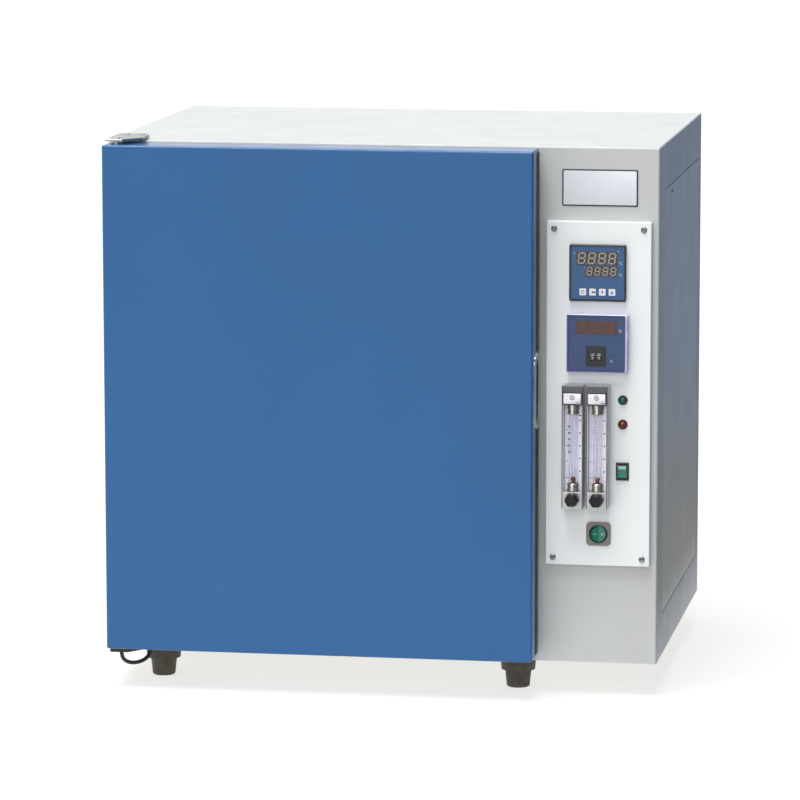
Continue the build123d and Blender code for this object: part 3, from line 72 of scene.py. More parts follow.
# A knob's rings: share of its length, share of its radius, and depth of the six grips
KNOB_POINTS = 72
KNOB_PROFILE = [(0, 0.62, 0), (0.10, 0.62, 0), (0.14, 0.74, 0.5), (0.20, 0.98, 1), (0.26, 1.0, 1),
                (0.55, 0.95, 1), (0.86, 0.86, 1), (0.97, 0.80, 1), (1.0, 0.75, 0.8), (1.0, 0.62, 0.2),
                (0.94, 0.56, 0), (0.93, 0.10, 0)]

# The floor's reach to each side, and where the part of it that throws light back ends
FLOOR_SIDE = 40
LIT_FLOOR_END = 0.42
SENSOR_WIDTH = 36

# Every material by name
finishes = {}


def corners(node):
    """The low and the high corner of a CAD node's box."""
    low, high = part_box(node)
    return np.array(low), np.array(high)


def at(x, y, z):
    """A point given in millimetres."""
    return np.array((x, y, z)) * MM


def colour(socket_value):
    """A property's colour as the four numbers that a shader socket takes."""
    return (*socket_value[:3], 1.0)


# Meshes

def mesh_object(name, points, faces, body, finish, smooth=None):
    """Puts points and faces into a mesh at the origin, closes its seams and turns its faces outwards."""
    mesh = bpy.data.meshes.new(name)
    mesh.from_pydata(np.asarray(points).reshape(-1, 3).tolist(), [], faces)
    piece = bpy.data.objects.new(name, mesh)
    bpy.context.scene.collection.objects.link(piece)
    tidy = bmesh_of(mesh)
    tidy.to_mesh(mesh)
    tidy.free()
    if smooth is not None:
        mesh.shade_smooth()
        mesh.set_sharp_from_angle(angle=radians(smooth))
    piece.data.materials.append(finishes[finish])
    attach(piece, body)
    return piece


def bmesh_of(mesh):
    """The mesh with doubled points merged and every face turned outwards."""
    tidy = bmesh.new()
    tidy.from_mesh(mesh)
    bmesh.ops.remove_doubles(tidy, verts=tidy.verts, dist=1e-7)
    bmesh.ops.recalc_face_normals(tidy, faces=tidy.faces)
    return tidy


def placed(local, origin, view):
    """Carries local points into the model: the origin, and then so far across, so far up and so far out."""
    return np.asarray(origin) + np.asarray(local) @ np.array(view)


def ring_faces(rings, count, closed=False):
    """Quads between each ring and the next, and a cap on each end unless the rings close on themselves."""
    steps = rings if closed else rings - 1
    ring, spot = np.meshgrid(np.arange(steps), np.arange(count), indexing="ij")
    after, beside = (ring + 1) % rings, (spot + 1) % count
    quads = np.stack([ring * count + spot, ring * count + beside, after * count + beside,
                      after * count + spot], -1)
    faces = quads.reshape(-1, 4).tolist()
    if not closed:
        faces += [list(range(count)), list(range((rings - 1) * count, rings * count))]
    return faces


def rounded(width, height, corner, points=32):
    """Outline of a rounded rectangle: the four quarters of a circle, each moved to its own corner."""
    angle = (np.arange(points) + 0.5) * 2 * pi / points
    corner = np.minimum(corner, np.minimum(width, height) / 2)
    across, along = np.cos(angle), np.sin(angle)
    return np.stack([np.sign(across) * (width / 2 - corner) + corner * across,
                     np.sign(along) * (height / 2 - corner) + corner * along], -1)


def stack(name, sections, origin, finish, view=FRONT_VIEW, body="cabinet", smooth=35, points=32):
    """Closed solid through rounded rectangles (width, height, corner, out), each joined to the next."""
    rings = [np.column_stack([rounded(width, height, corner, points), np.full(points, out)])
             for width, height, corner, out in sections]
    return mesh_object(name, placed(np.concatenate(rings), origin, view), ring_faces(len(rings), points),
                       body, finish, smooth)


def turned(name, profile, origin, finish, view=FRONT_VIEW, body="cabinet", smooth=35, points=48):
    """Solid of revolution: the profile of (radius, out) points is carried once round the out direction."""
    sections = [(2 * radius, 2 * radius, radius, out) for radius, out in profile]
    return stack(name, sections, origin, finish, view=view, body=body, smooth=smooth, points=points)


def sleeve(name, profile, origin, finish, view=FRONT_VIEW, body="cabinet", smooth=35, points=48):
    """Hollow ring: a closed profile of (radius, out) points is carried once round the out direction."""
    rings = [np.column_stack([rounded(2 * radius, 2 * radius, radius, points), np.full(points, out)])
             for radius, out in profile]
    return mesh_object(name, placed(np.concatenate(rings), origin, view),
                       ring_faces(len(rings), points, closed=True), body, finish, smooth)


def raised(name, outlines, low, high, origin, finish, view=FRONT_VIEW, body="cabinet"):
    """Thin solids: each flat outline, an array (shapes, points, 2), is given a wall from low to high."""
    outlines = np.asarray(outlines, dtype=float)
    shapes, count = outlines.shape[:2]
    local = np.zeros((shapes, 2, count, 3))
    local[..., :2] = outlines[:, None]
    local[:, 0, :, 2], local[:, 1, :, 2] = low, high
    faces = []
    for shape in range(shapes):
        faces += [[corner + shape * 2 * count for corner in face] for face in ring_faces(2, count)]
    return mesh_object(name, placed(local.reshape(-1, 3), origin, view), faces, body, finish, None)


# Finishes

class Recipe:
    """One material whose nodes read Object coordinates, so that each pattern stays on its piece."""

    def __init__(self, name):
        self.material = bpy.data.materials.new(name)
        self.material.use_nodes = True
        self.nodes = self.material.node_tree.nodes
        self.links = self.material.node_tree.links
        self.shader = self.nodes["Principled BSDF"]
        self.place = self.nodes.new("ShaderNodeTexCoord").outputs["Object"]
        finishes[name] = self.material

    def put(self, value, socket):
        if isinstance(value, bpy.types.NodeSocket):
            self.links.new(value, socket)
        else:
            socket.default_value = value

    def maths(self, operation, *values):
        node = self.nodes.new("ShaderNodeMath")
        node.operation = operation
        for socket, value in zip(node.inputs, values):
            self.put(value, socket)
        return node.outputs[0]

    def noise(self, scale, detail=3.0, stretch=(1, 1, 1)):
        """Noise between 0 and 1 over the piece: scale in lumps per metre, stretch along each axis."""
        mapping = self.nodes.new("ShaderNodeMapping")
        mapping.inputs["Scale"].default_value = stretch
        self.links.new(self.place, mapping.inputs["Vector"])
        node = self.nodes.new("ShaderNodeTexNoise")
        node.inputs["Scale"].default_value = scale
        node.inputs["Detail"].default_value = detail
        self.links.new(mapping.outputs[0], node.inputs["Vector"])
        return node.outputs[0]

    def ramp(self, value, start, end, low=0.0, high=1.0):
        """Turns value between start and end smoothly into low to high."""
        node = self.nodes.new("ShaderNodeMapRange")
        node.interpolation_type = "SMOOTHSTEP"
        for socket, number in zip(node.inputs, (value, start, end, low, high)):
            self.put(number, socket)
        return node.outputs[0]

    def blend(self, share, first, second):
        """Mixes two colours by share."""
        node = self.nodes.new("ShaderNodeMix")
        node.data_type = "RGBA"
        for socket, value in zip((node.inputs[0], node.inputs[6], node.inputs[7]), (share, first, second)):
            self.put(value, socket)
        return node.outputs[2]

    def axes(self):
        node = self.nodes.new("ShaderNodeSeparateXYZ")
        self.links.new(self.place, node.inputs[0])
        return node.outputs

    def inside(self, low, high):
        """1 inside the box between two corners, 0 outside."""
        share = 1.0
        for axis, start, end in zip(self.axes(), low, high):
            gap = self.maths("ABSOLUTE", self.maths("SUBTRACT", axis, (start + end) / 2))
            share = self.maths("MULTIPLY", share, self.maths("LESS_THAN", gap, (end - start) / 2))
        return share

    def edges(self, low, high, width):
        """1 along the box's edges: where at least two axes are within width of its faces."""
        total = -1.0
        for axis, start, end in zip(self.axes(), low, high):
            gap = self.maths("ABSOLUTE", self.maths("SUBTRACT", axis, (start + end) / 2))
            total = self.maths("ADD", total, self.ramp(gap, (end - start) / 2 - width, (end - start) / 2))
        return self.maths("MAXIMUM", total, 0.0)

    def bump(self, height, strength, distance):
        node = self.nodes.new("ShaderNodeBump")
        node.inputs["Strength"].default_value = strength
        node.inputs["Distance"].default_value = distance
        self.links.new(height, node.inputs["Height"])
        self.links.new(node.outputs[0], self.shader.inputs["Normal"])

    def base(self, value):
        self.surface = value
        self.put(value, self.shader.inputs["Base Color"])

    def overlay(self, share, value):
        """Lays another colour over what the base colour already is, by share."""
        self.base(self.blend(share, self.surface, value))

    def sockets(self, **values):
        for name, value in values.items():
            self.put(value, self.shader.inputs[name.replace("_", " ")])


def painted(name, tone, dark=0.95, roughness=0.42, worn=None, worn_width=0.003, worn_tone=0.3,
            darker_below=None, coat=0.5):
    """Powder coat: slow drifts of tone, fine orange peel, and brighter edges where hands and cloths rub."""
    recipe = Recipe(name)
    tone = np.array(tone[:3])
    drift = recipe.ramp(recipe.noise(5, 4), 0.35, 0.65)
    surface = recipe.blend(drift, (*tone * dark, 1), (*tone, 1))
    speck = recipe.ramp(recipe.noise(2600, 1), 0.62, 0.75, 0, 0.35)
    surface = recipe.blend(speck, surface, (*np.minimum(tone * 1.12, 1), 1))
    if worn:
        low, high = corners(worn)
        rub = recipe.maths("MULTIPLY", recipe.edges(low, high, worn_width),
                           recipe.ramp(recipe.noise(60, 5), 0.45, 0.62))
        bare = tone + (1 - tone) * worn_tone
        surface = recipe.blend(recipe.maths("MULTIPLY", rub, 0.6), surface, (*bare, 1))
    # Darker towards the bottom, in patches: fully below the first height given, fading out by the second
    if darker_below:
        height = recipe.axes()[2]
        film = recipe.maths("MULTIPLY", recipe.ramp(height, darker_below[0], darker_below[1], 1, 0),
                            recipe.ramp(recipe.noise(22, 5), 0.4, 0.7))
        surface = recipe.blend(recipe.maths("MULTIPLY", film, 0.16), surface, (*tone * 0.6, 1))
    recipe.base(surface)
    recipe.put(recipe.ramp(recipe.noise(14, 4), 0.3, 0.7, roughness - 0.06, roughness + 0.08),
               recipe.shader.inputs["Roughness"])
    recipe.bump(recipe.noise(700, 2), 0.12, 0.0004)
    recipe.sockets(Specular_IOR_Level=0.3, Coat_Weight=coat, Coat_Roughness=0.12)
    return recipe


def brushed(name, tone, grain, roughness):
    """Brushed metal: long fine lines along one axis in tone, roughness and bump, and faint wiping marks."""
    recipe = Recipe(name)
    tone = np.array(tone[:3])
    lines = recipe.noise(60, 6, grain)
    surface = recipe.blend(recipe.ramp(lines, 0.3, 0.7), (*tone * 0.88, 1),
                           (*np.minimum(tone * 1.08, 1), 1))
    smear = recipe.ramp(recipe.noise(9, 5), 0.5, 0.75, 0, 0.16)
    surface = recipe.blend(smear, surface, (*tone * 0.8, 1))
    recipe.base(surface)
    recipe.put(recipe.ramp(lines, 0.3, 0.7, roughness - 0.08, roughness + 0.12),
               recipe.shader.inputs["Roughness"])
    recipe.bump(lines, 0.1, 0.0003)
    recipe.sockets(Metallic=1.0)
    return recipe


def moulded(name, tone, roughness=0.35, light=1.25, pitch=1500, strength=0.15, **sockets):
    """Moulded plastic or rubber: slight mottling, fine grain and uneven gloss."""
    recipe = Recipe(name)
    tone = np.array(tone[:3])
    mottle = recipe.ramp(recipe.noise(90, 4), 0.35, 0.68)
    recipe.base(recipe.blend(mottle, (*tone, 1), (*np.minimum(tone * light + 0.004, 1), 1)))
    recipe.put(recipe.ramp(recipe.noise(40, 4), 0.3, 0.7, max(roughness - 0.08, 0.03), roughness + 0.1),
               recipe.shader.inputs["Roughness"])
    recipe.bump(recipe.noise(pitch, 2), strength, 0.0002)
    recipe.sockets(**sockets)
    return recipe


# Sizes and colours that a user would change

def shade(name, description, default):
    """A colour that the sidebar can change."""
    return bpy.props.FloatVectorProperty(name=name, description=description, subtype="COLOR",
                                         default=default, min=0, max=1)


def amount(name, description, default, **settings):
    """A number that the sidebar can change."""
    return bpy.props.FloatProperty(name=name, description=description, default=default, **settings)


class IncubatorFinish(bpy.types.PropertyGroup):
    """Paint and plastic colours."""
    casing: shade("Casing", "Powder coat of the cabinet", (0.55, 0.56, 0.535))
    panel: shade("Panel", "Powder coat of the control panel", (0.845, 0.865, 0.845))
    door: shade("Door", "Powder coat of the outer door", (0.008, 0.098, 0.27))
    face: shade("Meter face", "Blue film on the two controllers", (0.032, 0.095, 0.225))
    green: shade("Green plastic", "Rockers and green lamp", (0.003, 0.17, 0.105))
    red: shade("Red lens", "Lens of the red lamp", (0.26, 0.02, 0.015))


class IncubatorStage(bpy.types.PropertyGroup):
    """Camera, light and floor."""
    camera_place: bpy.props.FloatVectorProperty(name="Camera place", description="Where the camera stands",
                                                subtype="TRANSLATION", unit="LENGTH",
                                                default=(1.020, -6.128, 1.292))
    camera_yaw: amount("Camera yaw", "Turn of the camera to the left", radians(9.60), subtype="ANGLE")
    camera_pitch: amount("Camera pitch", "Tilt of the camera downwards", radians(8.62), subtype="ANGLE")
    camera_roll: amount("Camera roll", "Roll of the camera", radians(0.05), subtype="ANGLE")
    camera_lens: amount("Lens", "Focal length in millimetres", 206.64, min=20)
    sky: amount("Sky", "Strength of the light straight above", 1.15, min=0)
    low_sky: amount("Low sky", "Strength of the light near the horizon", 0.35, min=0)
    dusk: shade("Dusk", "Dim light from the right", (0.165, 0.23, 0.37))
    low_dusk: shade("Low dusk", "Dim light from the floor on the right", (0.26, 0.235, 0.17))
    glow: amount("Floor glow", "Light that the floor itself gives", 0.74, min=0)
    overhead: amount("Overhead", "Strength of the soft light above", 2.7, min=0)
    front: amount("Front", "Power of the soft light at the front left", 26.6, min=0)


# Operators

class INCUBATOR_OT_finishes(bpy.types.Operator):
    """Mix every finish and give each CAD node its own"""
    bl_idname = "incubator.finishes"
    bl_label = "Finishes"

    def execute(self, context):
        tone = context.scene.incubator_finish
        painted("casing_paint", tone.casing, dark=0.965, worn="outer_casing", darker_below=(0.045, 0.14),
                coat=0.25)
        painted("side_paint", tone.casing, dark=0.965, darker_below=(0.1, 0.2), coat=0.5)
        painted("cover_paint", tone.casing, dark=0.95, roughness=0.48, coat=0.2)
        painted("panel_paint", tone.panel, dark=0.98, worn="control_panel", worn_width=0.002)
        painted("pan_paint", (0.30, 0.31, 0.31), roughness=0.5)
        painted("door_paint", tone.door, dark=0.95, roughness=0.4, worn="door_shell", worn_width=0.0025,
                worn_tone=0.1, coat=0.5)
        painted("liner_paint", (0.74, 0.75, 0.74), roughness=0.4)
        brushed("chamber_steel", (0.66, 0.67, 0.67), (0.05, 30, 60), 0.3)
        brushed("shelf_steel", (0.70, 0.71, 0.71), (0.05, 30, 30), 0.25)
        hinge = brushed("hinge_steel", (0.43, 0.44, 0.44), (1, 30, 30), 0.32)
        # Below 0.4 m the lower hinge, under the cabinet, is darkened: painted shade
        hinge.overlay(hinge.inside((-1, -1, 0), (1, 1, 0.4)), (0.050, 0.045, 0.040, 1))
        brushed("tank_steel", (0.45, 0.46, 0.46), (20, 20, 0.05), 0.42)
        brushed("chrome_plate", (0.80, 0.81, 0.82), (30, 30, 0.5), 0.12)
        brushed("screw_steel", (0.30, 0.29, 0.28), (8, 8, 8), 0.26)
        brushed("bright_steel", (0.62, 0.62, 0.60), (12, 12, 12), 0.28)
        brushed("case_metal", (0.52, 0.53, 0.54), (20, 20, 0.2), 0.34)
        brushed("cap_metal", (0.90, 0.90, 0.91), (0.5, 20, 40), 0.5)
        brushed("motor_metal", (0.36, 0.37, 0.38), (3, 3, 3), 0.5)
        brushed("fan_metal", (0.62, 0.63, 0.64), (6, 1, 6), 0.35)
        brushed("brass", (0.58, 0.42, 0.18), (2, 20, 2), 0.3)
        moulded("black_rubber", (0.018, 0.016, 0.014), 0.62, 1.5, 900, 0.3)
        moulded("foot_rubber", (0.046, 0.040, 0.024), 0.5, 1.5, 700, 0.35)
        moulded("gasket_rubber", (0.030, 0.017, 0.012), 0.55, 1.5, 800, 0.3)
        moulded("silicone", (0.55, 0.54, 0.50), 0.5, 1.1, 700, 0.25)
        moulded("foam", (0.55, 0.48, 0.30), 0.85, 1.2, 500, 0.9)
        moulded("mat", (0.40, 0.12, 0.05), 0.6, 1.2, 400, 0.5)
        moulded("black_plastic", (0.012, 0.012, 0.013), 0.3)
        moulded("key_plastic", (0.68, 0.71, 0.78), 0.45, 1.05)
        moulded("white_print", (0.62, 0.62, 0.64), 0.5, 1.05)
        # Near-black for print, and for the painted shadow on the flowmeters' cap rims
        moulded("dark_print_and_shade", (0.03, 0.03, 0.05), 0.5)
        moulded("plate_plastic", (0.205, 0.18, 0.16), 0.4, 1.12)
        moulded("plate_edge", (0.03, 0.035, 0.055), 0.5)
        moulded("plate_white", (0.68, 0.70, 0.73), 0.35, 1.04, Coat_Weight=0.3, Coat_Roughness=0.2)
        moulded("window_dark", (0.045, 0.036, 0.030), 0.2, 1.2)
        moulded("window_red", (0.070, 0.030, 0.026), 0.2, 1.2)
        moulded("segment_pale", (0.34, 0.31, 0.27), 0.4, 1.08)
        moulded("segment_dim", (0.095, 0.045, 0.038), 0.3, 1.1)
        # Near-white for the lip under each flow window: a painted highlight
        moulded("sill_highlight_white", (0.85, 0.86, 0.87), 0.3, 1.03)
        # The scale plates glow faintly, as painted light: they hold no lamp
        moulded("scale_plate_glowing", (0.90, 0.88, 0.98), 0.35, 1.02, Emission_Color=(0.8, 0.78, 1, 1),
                Emission_Strength=0.14)
        moulded("cap_dark", (0.085, 0.085, 0.088), 0.4, 1.2)
        moulded("fitting_olive", (0.36, 0.34, 0.27), 0.24, 1.3, Metallic=0.8)
        moulded("knob_black", (0.004, 0.004, 0.005), 0.3, 1.6, Specular_IOR_Level=0.25, Coat_Weight=0.2,
                Coat_Roughness=0.06)
        moulded("collar_green", (0.006, 0.045, 0.028), 0.3)
        moulded("collar_red", (0.06, 0.012, 0.010), 0.3)
        moulded("ring_dark", (0.006, 0.020, 0.015), 0.25)
        moulded("mark_pale", (0.45, 0.60, 0.50), 0.4, 1.05)
        moulded("tube_glass", (0.98, 0.98, 1.0), 0.05, 1.0, 60, 0.02, Transmission_Weight=1.0, IOR=1.2)
        meter = moulded("temperature_case", (0.012, 0.012, 0.013), 0.3)
        low, high = corners("temperature_controller")
        face_low = (low[0] + 0.0024, low[1] + 0.0004, low[2] + 0.0028)
        face_high = (high[0] - 0.0022, 0, high[2] - 0.0022)
        meter.overlay(meter.inside(face_low, face_high), colour(tone.face))
        meter = moulded("gas_case", (0.46, 0.44, 0.62), 0.22)
        low, high = corners("gas_controller")
        rim, border = 0.0009, 0.0030
        meter.overlay(meter.inside((low[0] + rim, low[1] - rim, low[2] + rim),
                                   (high[0] - 4 * rim, 0, high[2] - rim)), (0.035, 0.040, 0.16, 1))
        meter.overlay(meter.inside((low[0] + border, low[1] + 0.0004, low[2] + border),
                                   (high[0] - border, 0, high[2] - border)), (0.030, 0.064, 0.155, 1))
        block = sum([*corners("thumbwheel_tens"), *corners("thumbwheel_units")]) / 4
        meter.overlay(meter.inside((block[0] - 0.0132, low[1] - rim, block[2] - 0.0132),
                                   (block[0] + 0.0132, 0, block[2] + 0.0132)), (0.012, 0.012, 0.014, 1))
        moulded("rocker_green", tone.green, 0.22, 1.2, Coat_Weight=0.4, Coat_Roughness=0.12)
        fan = moulded("fan_green", (0.008, 0.008, 0.009), 0.2, 1.2, Coat_Weight=0.5, Coat_Roughness=0.1)
        low, high = corners("fan_rocker")
        fan.overlay(fan.inside((low[0] + 0.0015, -1, low[2] + 0.0016),
                               (high[0] - 0.0015, 0, high[2] - 0.0012)), colour(tone.green))
        # Painted highlight: a pale green patch near the top of the fan rocker, where the overhead light
        # would catch it
        painted_highlight = fan.maths("MULTIPLY", fan.ramp(fan.axes()[2], high[2] - 0.0080, high[2] - 0.0036),
                        fan.inside((low[0] + 0.0022, -1, low[2]), (high[0] - 0.0022, 0, high[2] - 0.0020)))
        fan.overlay(painted_highlight, (0.40, 0.78, 0.62, 1))
        moulded("lens_green", np.array(tone.green) * 0.4, 0.18, 1.2, Coat_Weight=0.4, Coat_Roughness=0.05)
        moulded("lens_red", np.array(tone.red) * 0.6, 0.18, 1.2, Coat_Weight=0.4, Coat_Roughness=0.05)
        moulded("float_red", (0.16, 0.02, 0.02), 0.25)
        moulded("lever_red", (0.42, 0.02, 0.015), 0.3, 1.15)
        moulded("core_varnish", (0.05, 0.04, 0.035), 0.35, 1.4, 300, 0.5)
        moulded("acrylic", (0.80, 0.81, 0.90), 0.1, 1.02, Transmission_Weight=0.55, IOR=1.3)
        moulded("pane_glass", (0.86, 0.95, 0.92), 0.06, 1.02, 60, 0.03, Transmission_Weight=1.0, IOR=1.5)
        wearing = {
            "casing_paint": ["outer_casing"], "side_paint": ["side_access_panel"],
            "cover_paint": ["rear_cover"],
            "panel_paint": ["control_panel"], "pan_paint": ["base_pan", "bay_partition"],
            "door_paint": ["door_shell"], "liner_paint": ["door_liner"],
            "chamber_steel": ["chamber_liner", "mouth_frame", "duct_cover", "water_tray", "sensor_probe"],
            "shelf_steel": ["shelf_lower", "shelf_middle", "shelf_upper", "shelf_uprights"],
            "hinge_steel": ["door_hinges"], "tank_steel": ["water_jacket"],
            "chrome_plate": ["door_pull", "glass_fittings", "glass_latch"], "screw_steel": ["panel_screws"],
            "case_metal": ["flowmeter_cases"], "motor_metal": ["fan_motor", "solenoid_valve"],
            "fan_metal": ["fan_impeller"], "brass": ["hose_tails", "drain_valve"],
            "foot_rubber": ["feet"], "gasket_rubber": ["door_gasket"], "silicone": ["inner_seal"],
            "foam": ["insulation", "door_foam"], "mat": ["jacket_heater"],
            "temperature_case": ["temperature_controller"], "gas_case": ["gas_controller"],
            "black_plastic": ["rocker_bezel", "mains_inlet",
                              "thumbwheel_tens", "thumbwheel_units", "flow_knob_left", "flow_knob_right"],
            "key_plastic": ["set_key_1", "set_key_2", "set_key_3", "set_key_4"],
            "plate_plastic": ["main_switch"], "rocker_green": ["main_rocker"], "fan_green": ["fan_rocker"],
            "lens_green": ["lamp_green"], "lens_red": ["lamp_red"],
            "float_red": ["flow_float_left", "flow_float_right"], "lever_red": ["drain_lever"],
            "core_varnish": ["transformer"], "acrylic": ["metering_tubes"], "pane_glass": ["inner_glass"],
        }
        for finish, nodes in wearing.items():
            for node in nodes:
                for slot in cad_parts[node].material_slots:
                    slot.material = finishes[finish]
        return {"FINISHED"}


class INCUBATOR_OT_lead(bpy.types.Operator):
    """Hang the door's short lead between the lower hinge pin and the base"""
    bl_idname = "incubator.lead"
    bl_label = "Door Lead"

    def execute(self, context):
        points = np.array([(-346, -281, 49), (-346, -281, 38), (-340, -273, 29.5), (-332, -262, 26.5),
                           (-324.3, -249.5, 27), (-319, -238, 31), (-318, -232, 38),
                           (-318, -232, 46.5)]) * MM
        curve = bpy.data.curves.new("door_lead_sheath", "CURVE")
        curve.dimensions = "3D"
        curve.bevel_depth = 2.6 * MM
        curve.bevel_resolution = 6
        curve.use_fill_caps = True
        curve.resolution_u = 16
        spline = curve.splines.new("NURBS")
        spline.points.add(len(points) - 1)
        spline.points.foreach_set("co", np.column_stack([points, np.ones(len(points))]).ravel())
        spline.order_u = 3
        spline.use_endpoint_u = True
        lead = bpy.data.objects.new("door_lead_sheath", curve)
        context.scene.collection.objects.link(lead)
        lead.data.materials.append(finishes["black_rubber"])
        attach(lead, "cabinet")
        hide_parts("door_lead")
        return {"FINISHED"}


# Shapes that the instruments share

def segment_digit(width, height, stroke, slant=0.12):
    """Seven bars of a digit as six-cornered outlines: three across and four up, with a gap between them."""
    reach, rise, gap = width / 2, height / 2, stroke * 0.18
    half = stroke / 2
    shapes = []
    for middle in (-rise + half, 0, rise - half):
        end = reach - half - gap
        shapes.append([(-end, middle), (-end + half, middle + half), (end - half, middle + half),
                       (end, middle), (end - half, middle - half), (-end + half, middle - half)])
    for side in (-1, 1):
        for low, high in ((-rise + half, 0), (0, rise - half)):
            across, low, high = side * (reach - half), low + gap, high - gap
            shapes.append([(across, low), (across + half, low + half), (across + half, high - half),
                           (across, high), (across - half, high - half), (across - half, low + half)])
    shapes = np.array(shapes)
    shapes[..., 0] += slant * shapes[..., 1]
    return shapes


LIT = {0: (0, 2, 3, 4, 5, 6), 1: (5, 6), 2: (0, 1, 2, 3, 6), 3: (0, 1, 2, 5, 6), 4: (1, 4, 5, 6),
       5: (0, 1, 2, 4, 5), 6: (0, 1, 2, 3, 4, 5), 7: (2, 5, 6), 8: (0, 1, 2, 3, 4, 5, 6),
       9: (0, 1, 2, 4, 5, 6)}


def arc_band(radius, thickness, start=0.0, turn=2 * pi, points=16, middle=(0, 0)):
    """Flat band along an arc, cut into four-cornered outlines between two spokes and two radii."""
    angle = start + turn * np.arange(points + 1) / points
    spoke = np.stack([np.cos(angle), np.sin(angle)], -1)
    inner, outer = (radius - thickness / 2) * spoke, (radius + thickness / 2) * spoke
    return np.stack([inner[:-1], outer[:-1], outer[1:], inner[1:]], 1) + np.array(middle)


def bars(spots, width, height):
    """Upright rectangles of one size around spots."""
    corner = np.array([(-1, -1), (1, -1), (1, 1), (-1, 1)]) * np.array([width, height]) / 2
    return np.asarray(spots, dtype=float).reshape(-1, 1, 2) + corner


def screws(name, spots, view, radius, rise, body, finish="screw_steel", rings=9, points=32):
    """Pan heads with a cross recess: a dome over the radius, pressed in along two crossing grooves."""
    radii = np.linspace(0, 1, rings)[::-1, None] ** 0.8
    angle = 2 * pi * (np.arange(points) + 0.5)[None] / points
    across, along = radii * np.cos(angle), radii * np.sin(angle)
    dome = (1 - radii ** 4 * 0.55) * np.ones_like(across)
    groove = np.maximum(np.exp(-(across / 0.16) ** 4 - (along / 0.55) ** 6),
                        np.exp(-(along / 0.16) ** 4 - (across / 0.55) ** 6))
    local = np.stack([across * radius, along * radius, rise * (dome - 0.6 * groove)], -1).reshape(-1, 3)
    skirt = np.stack([radius * np.cos(angle[0]), radius * np.sin(angle[0]), np.zeros(points)], -1)
    local = np.concatenate([skirt, local])
    count = len(local)
    faces, all_points = [], []
    for number, spot in enumerate(spots):
        all_points.append(placed(local, np.array(spot) * MM, view))
        faces += [[corner + number * count for corner in face] for face in ring_faces(rings + 1, points)]
    return mesh_object(name, np.concatenate(all_points), faces, body, finish, 50)


class INCUBATOR_OT_panel(bpy.types.Operator):
    """Fit the blank nameplate, the panel's screws and the side panel's screw"""
    bl_idname = "incubator.panel"
    bl_label = "Nameplate and Screws"

    def execute(self, context):
        low, high = corners("control_panel")
        plate = at(287.5, -246, 672)
        stack("nameplate_frame", [(0.099, 0.048, 0.002, 0), (0.099, 0.048, 0.002, 0.0006),
                                  (0.0982, 0.0472, 0.0018, 0.0009)], plate, "plate_edge")
        stack("nameplate_face", [(0.0952, 0.0442, 0.0012, 0.0008), (0.0952, 0.0442, 0.0012, 0.0011),
                                 (0.0946, 0.0436, 0.0010, 0.0012)], plate, "plate_white")
        inset = 10
        front = low[1] / MM
        head_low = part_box("panel_screws")[0][1] / MM
        spots = [(x, front, z) for x in (low[0] / MM + inset, high[0] / MM - inset)
                 for z in (low[2] / MM + inset, high[2] / MM - inset)]
        heads = screws("panel_screw_heads", spots, FRONT_VIEW, 0.004, (front - head_low) * MM, "cabinet")
        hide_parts("panel_screws")
        screws("side_panel_screw", [(365, -100, 655)], SIDE_VIEW, 0.0032, 0.0016, "cabinet")
        low, high = corners("rear_cover")
        edge = 7
        spots = [(x, 274, z) for x in (low[0] / MM + edge, 0, high[0] / MM - edge)
                 for z in (low[2] / MM + edge, high[2] / MM - edge)]
        screws("rear_cover_screws", spots, REAR_VIEW, 0.0036, 0.0018, "cabinet", rings=6, points=24)
        low, high = corners("door_hinges")
        screws("hinge_screws", [(x, -221, high[2] / MM) for x in (low[0] / MM + 13, low[0] / MM + 34)],
               TOP_VIEW, 0.0042, 0.0012, "cabinet", "bright_steel")
        turned("hinge_pin_head", [(0.0062, 0), (0.0062, 0.0006), (0.0050, 0.0014), (0.0022, 0.0018)],
               at(-346, -281, high[2] / MM), "bright_steel", view=TOP_VIEW)
        return {"FINISHED"}


class INCUBATOR_OT_door(bpy.types.Operator):
    """Edge the outer door's free side with its brown rubber strip"""
    bl_idname = "incubator.door"
    bl_label = "Door Edge"

    def execute(self, context):
        low, high = corners("door_shell")
        pull_low, pull_high = corners("door_pull")
        for name, bottom, top in (("lower", low[2] + 0.004, pull_low[2] - 0.001),
                                  ("upper", pull_high[2] + 0.001, high[2] - 0.004)):
            length = top - bottom
            stack("door_edge_" + name, [(0.0175, length, 0.0015, 0), (0.0175, length, 0.0015, 0.0005),
                                        (0.0160, length - 0.0015, 0.0010, 0.0010)],
                  (high[0], high[1] - 0.0090, (bottom + top) / 2), "gasket_rubber",
                  view=SIDE_VIEW, body="outer_door")
        return {"FINISHED"}


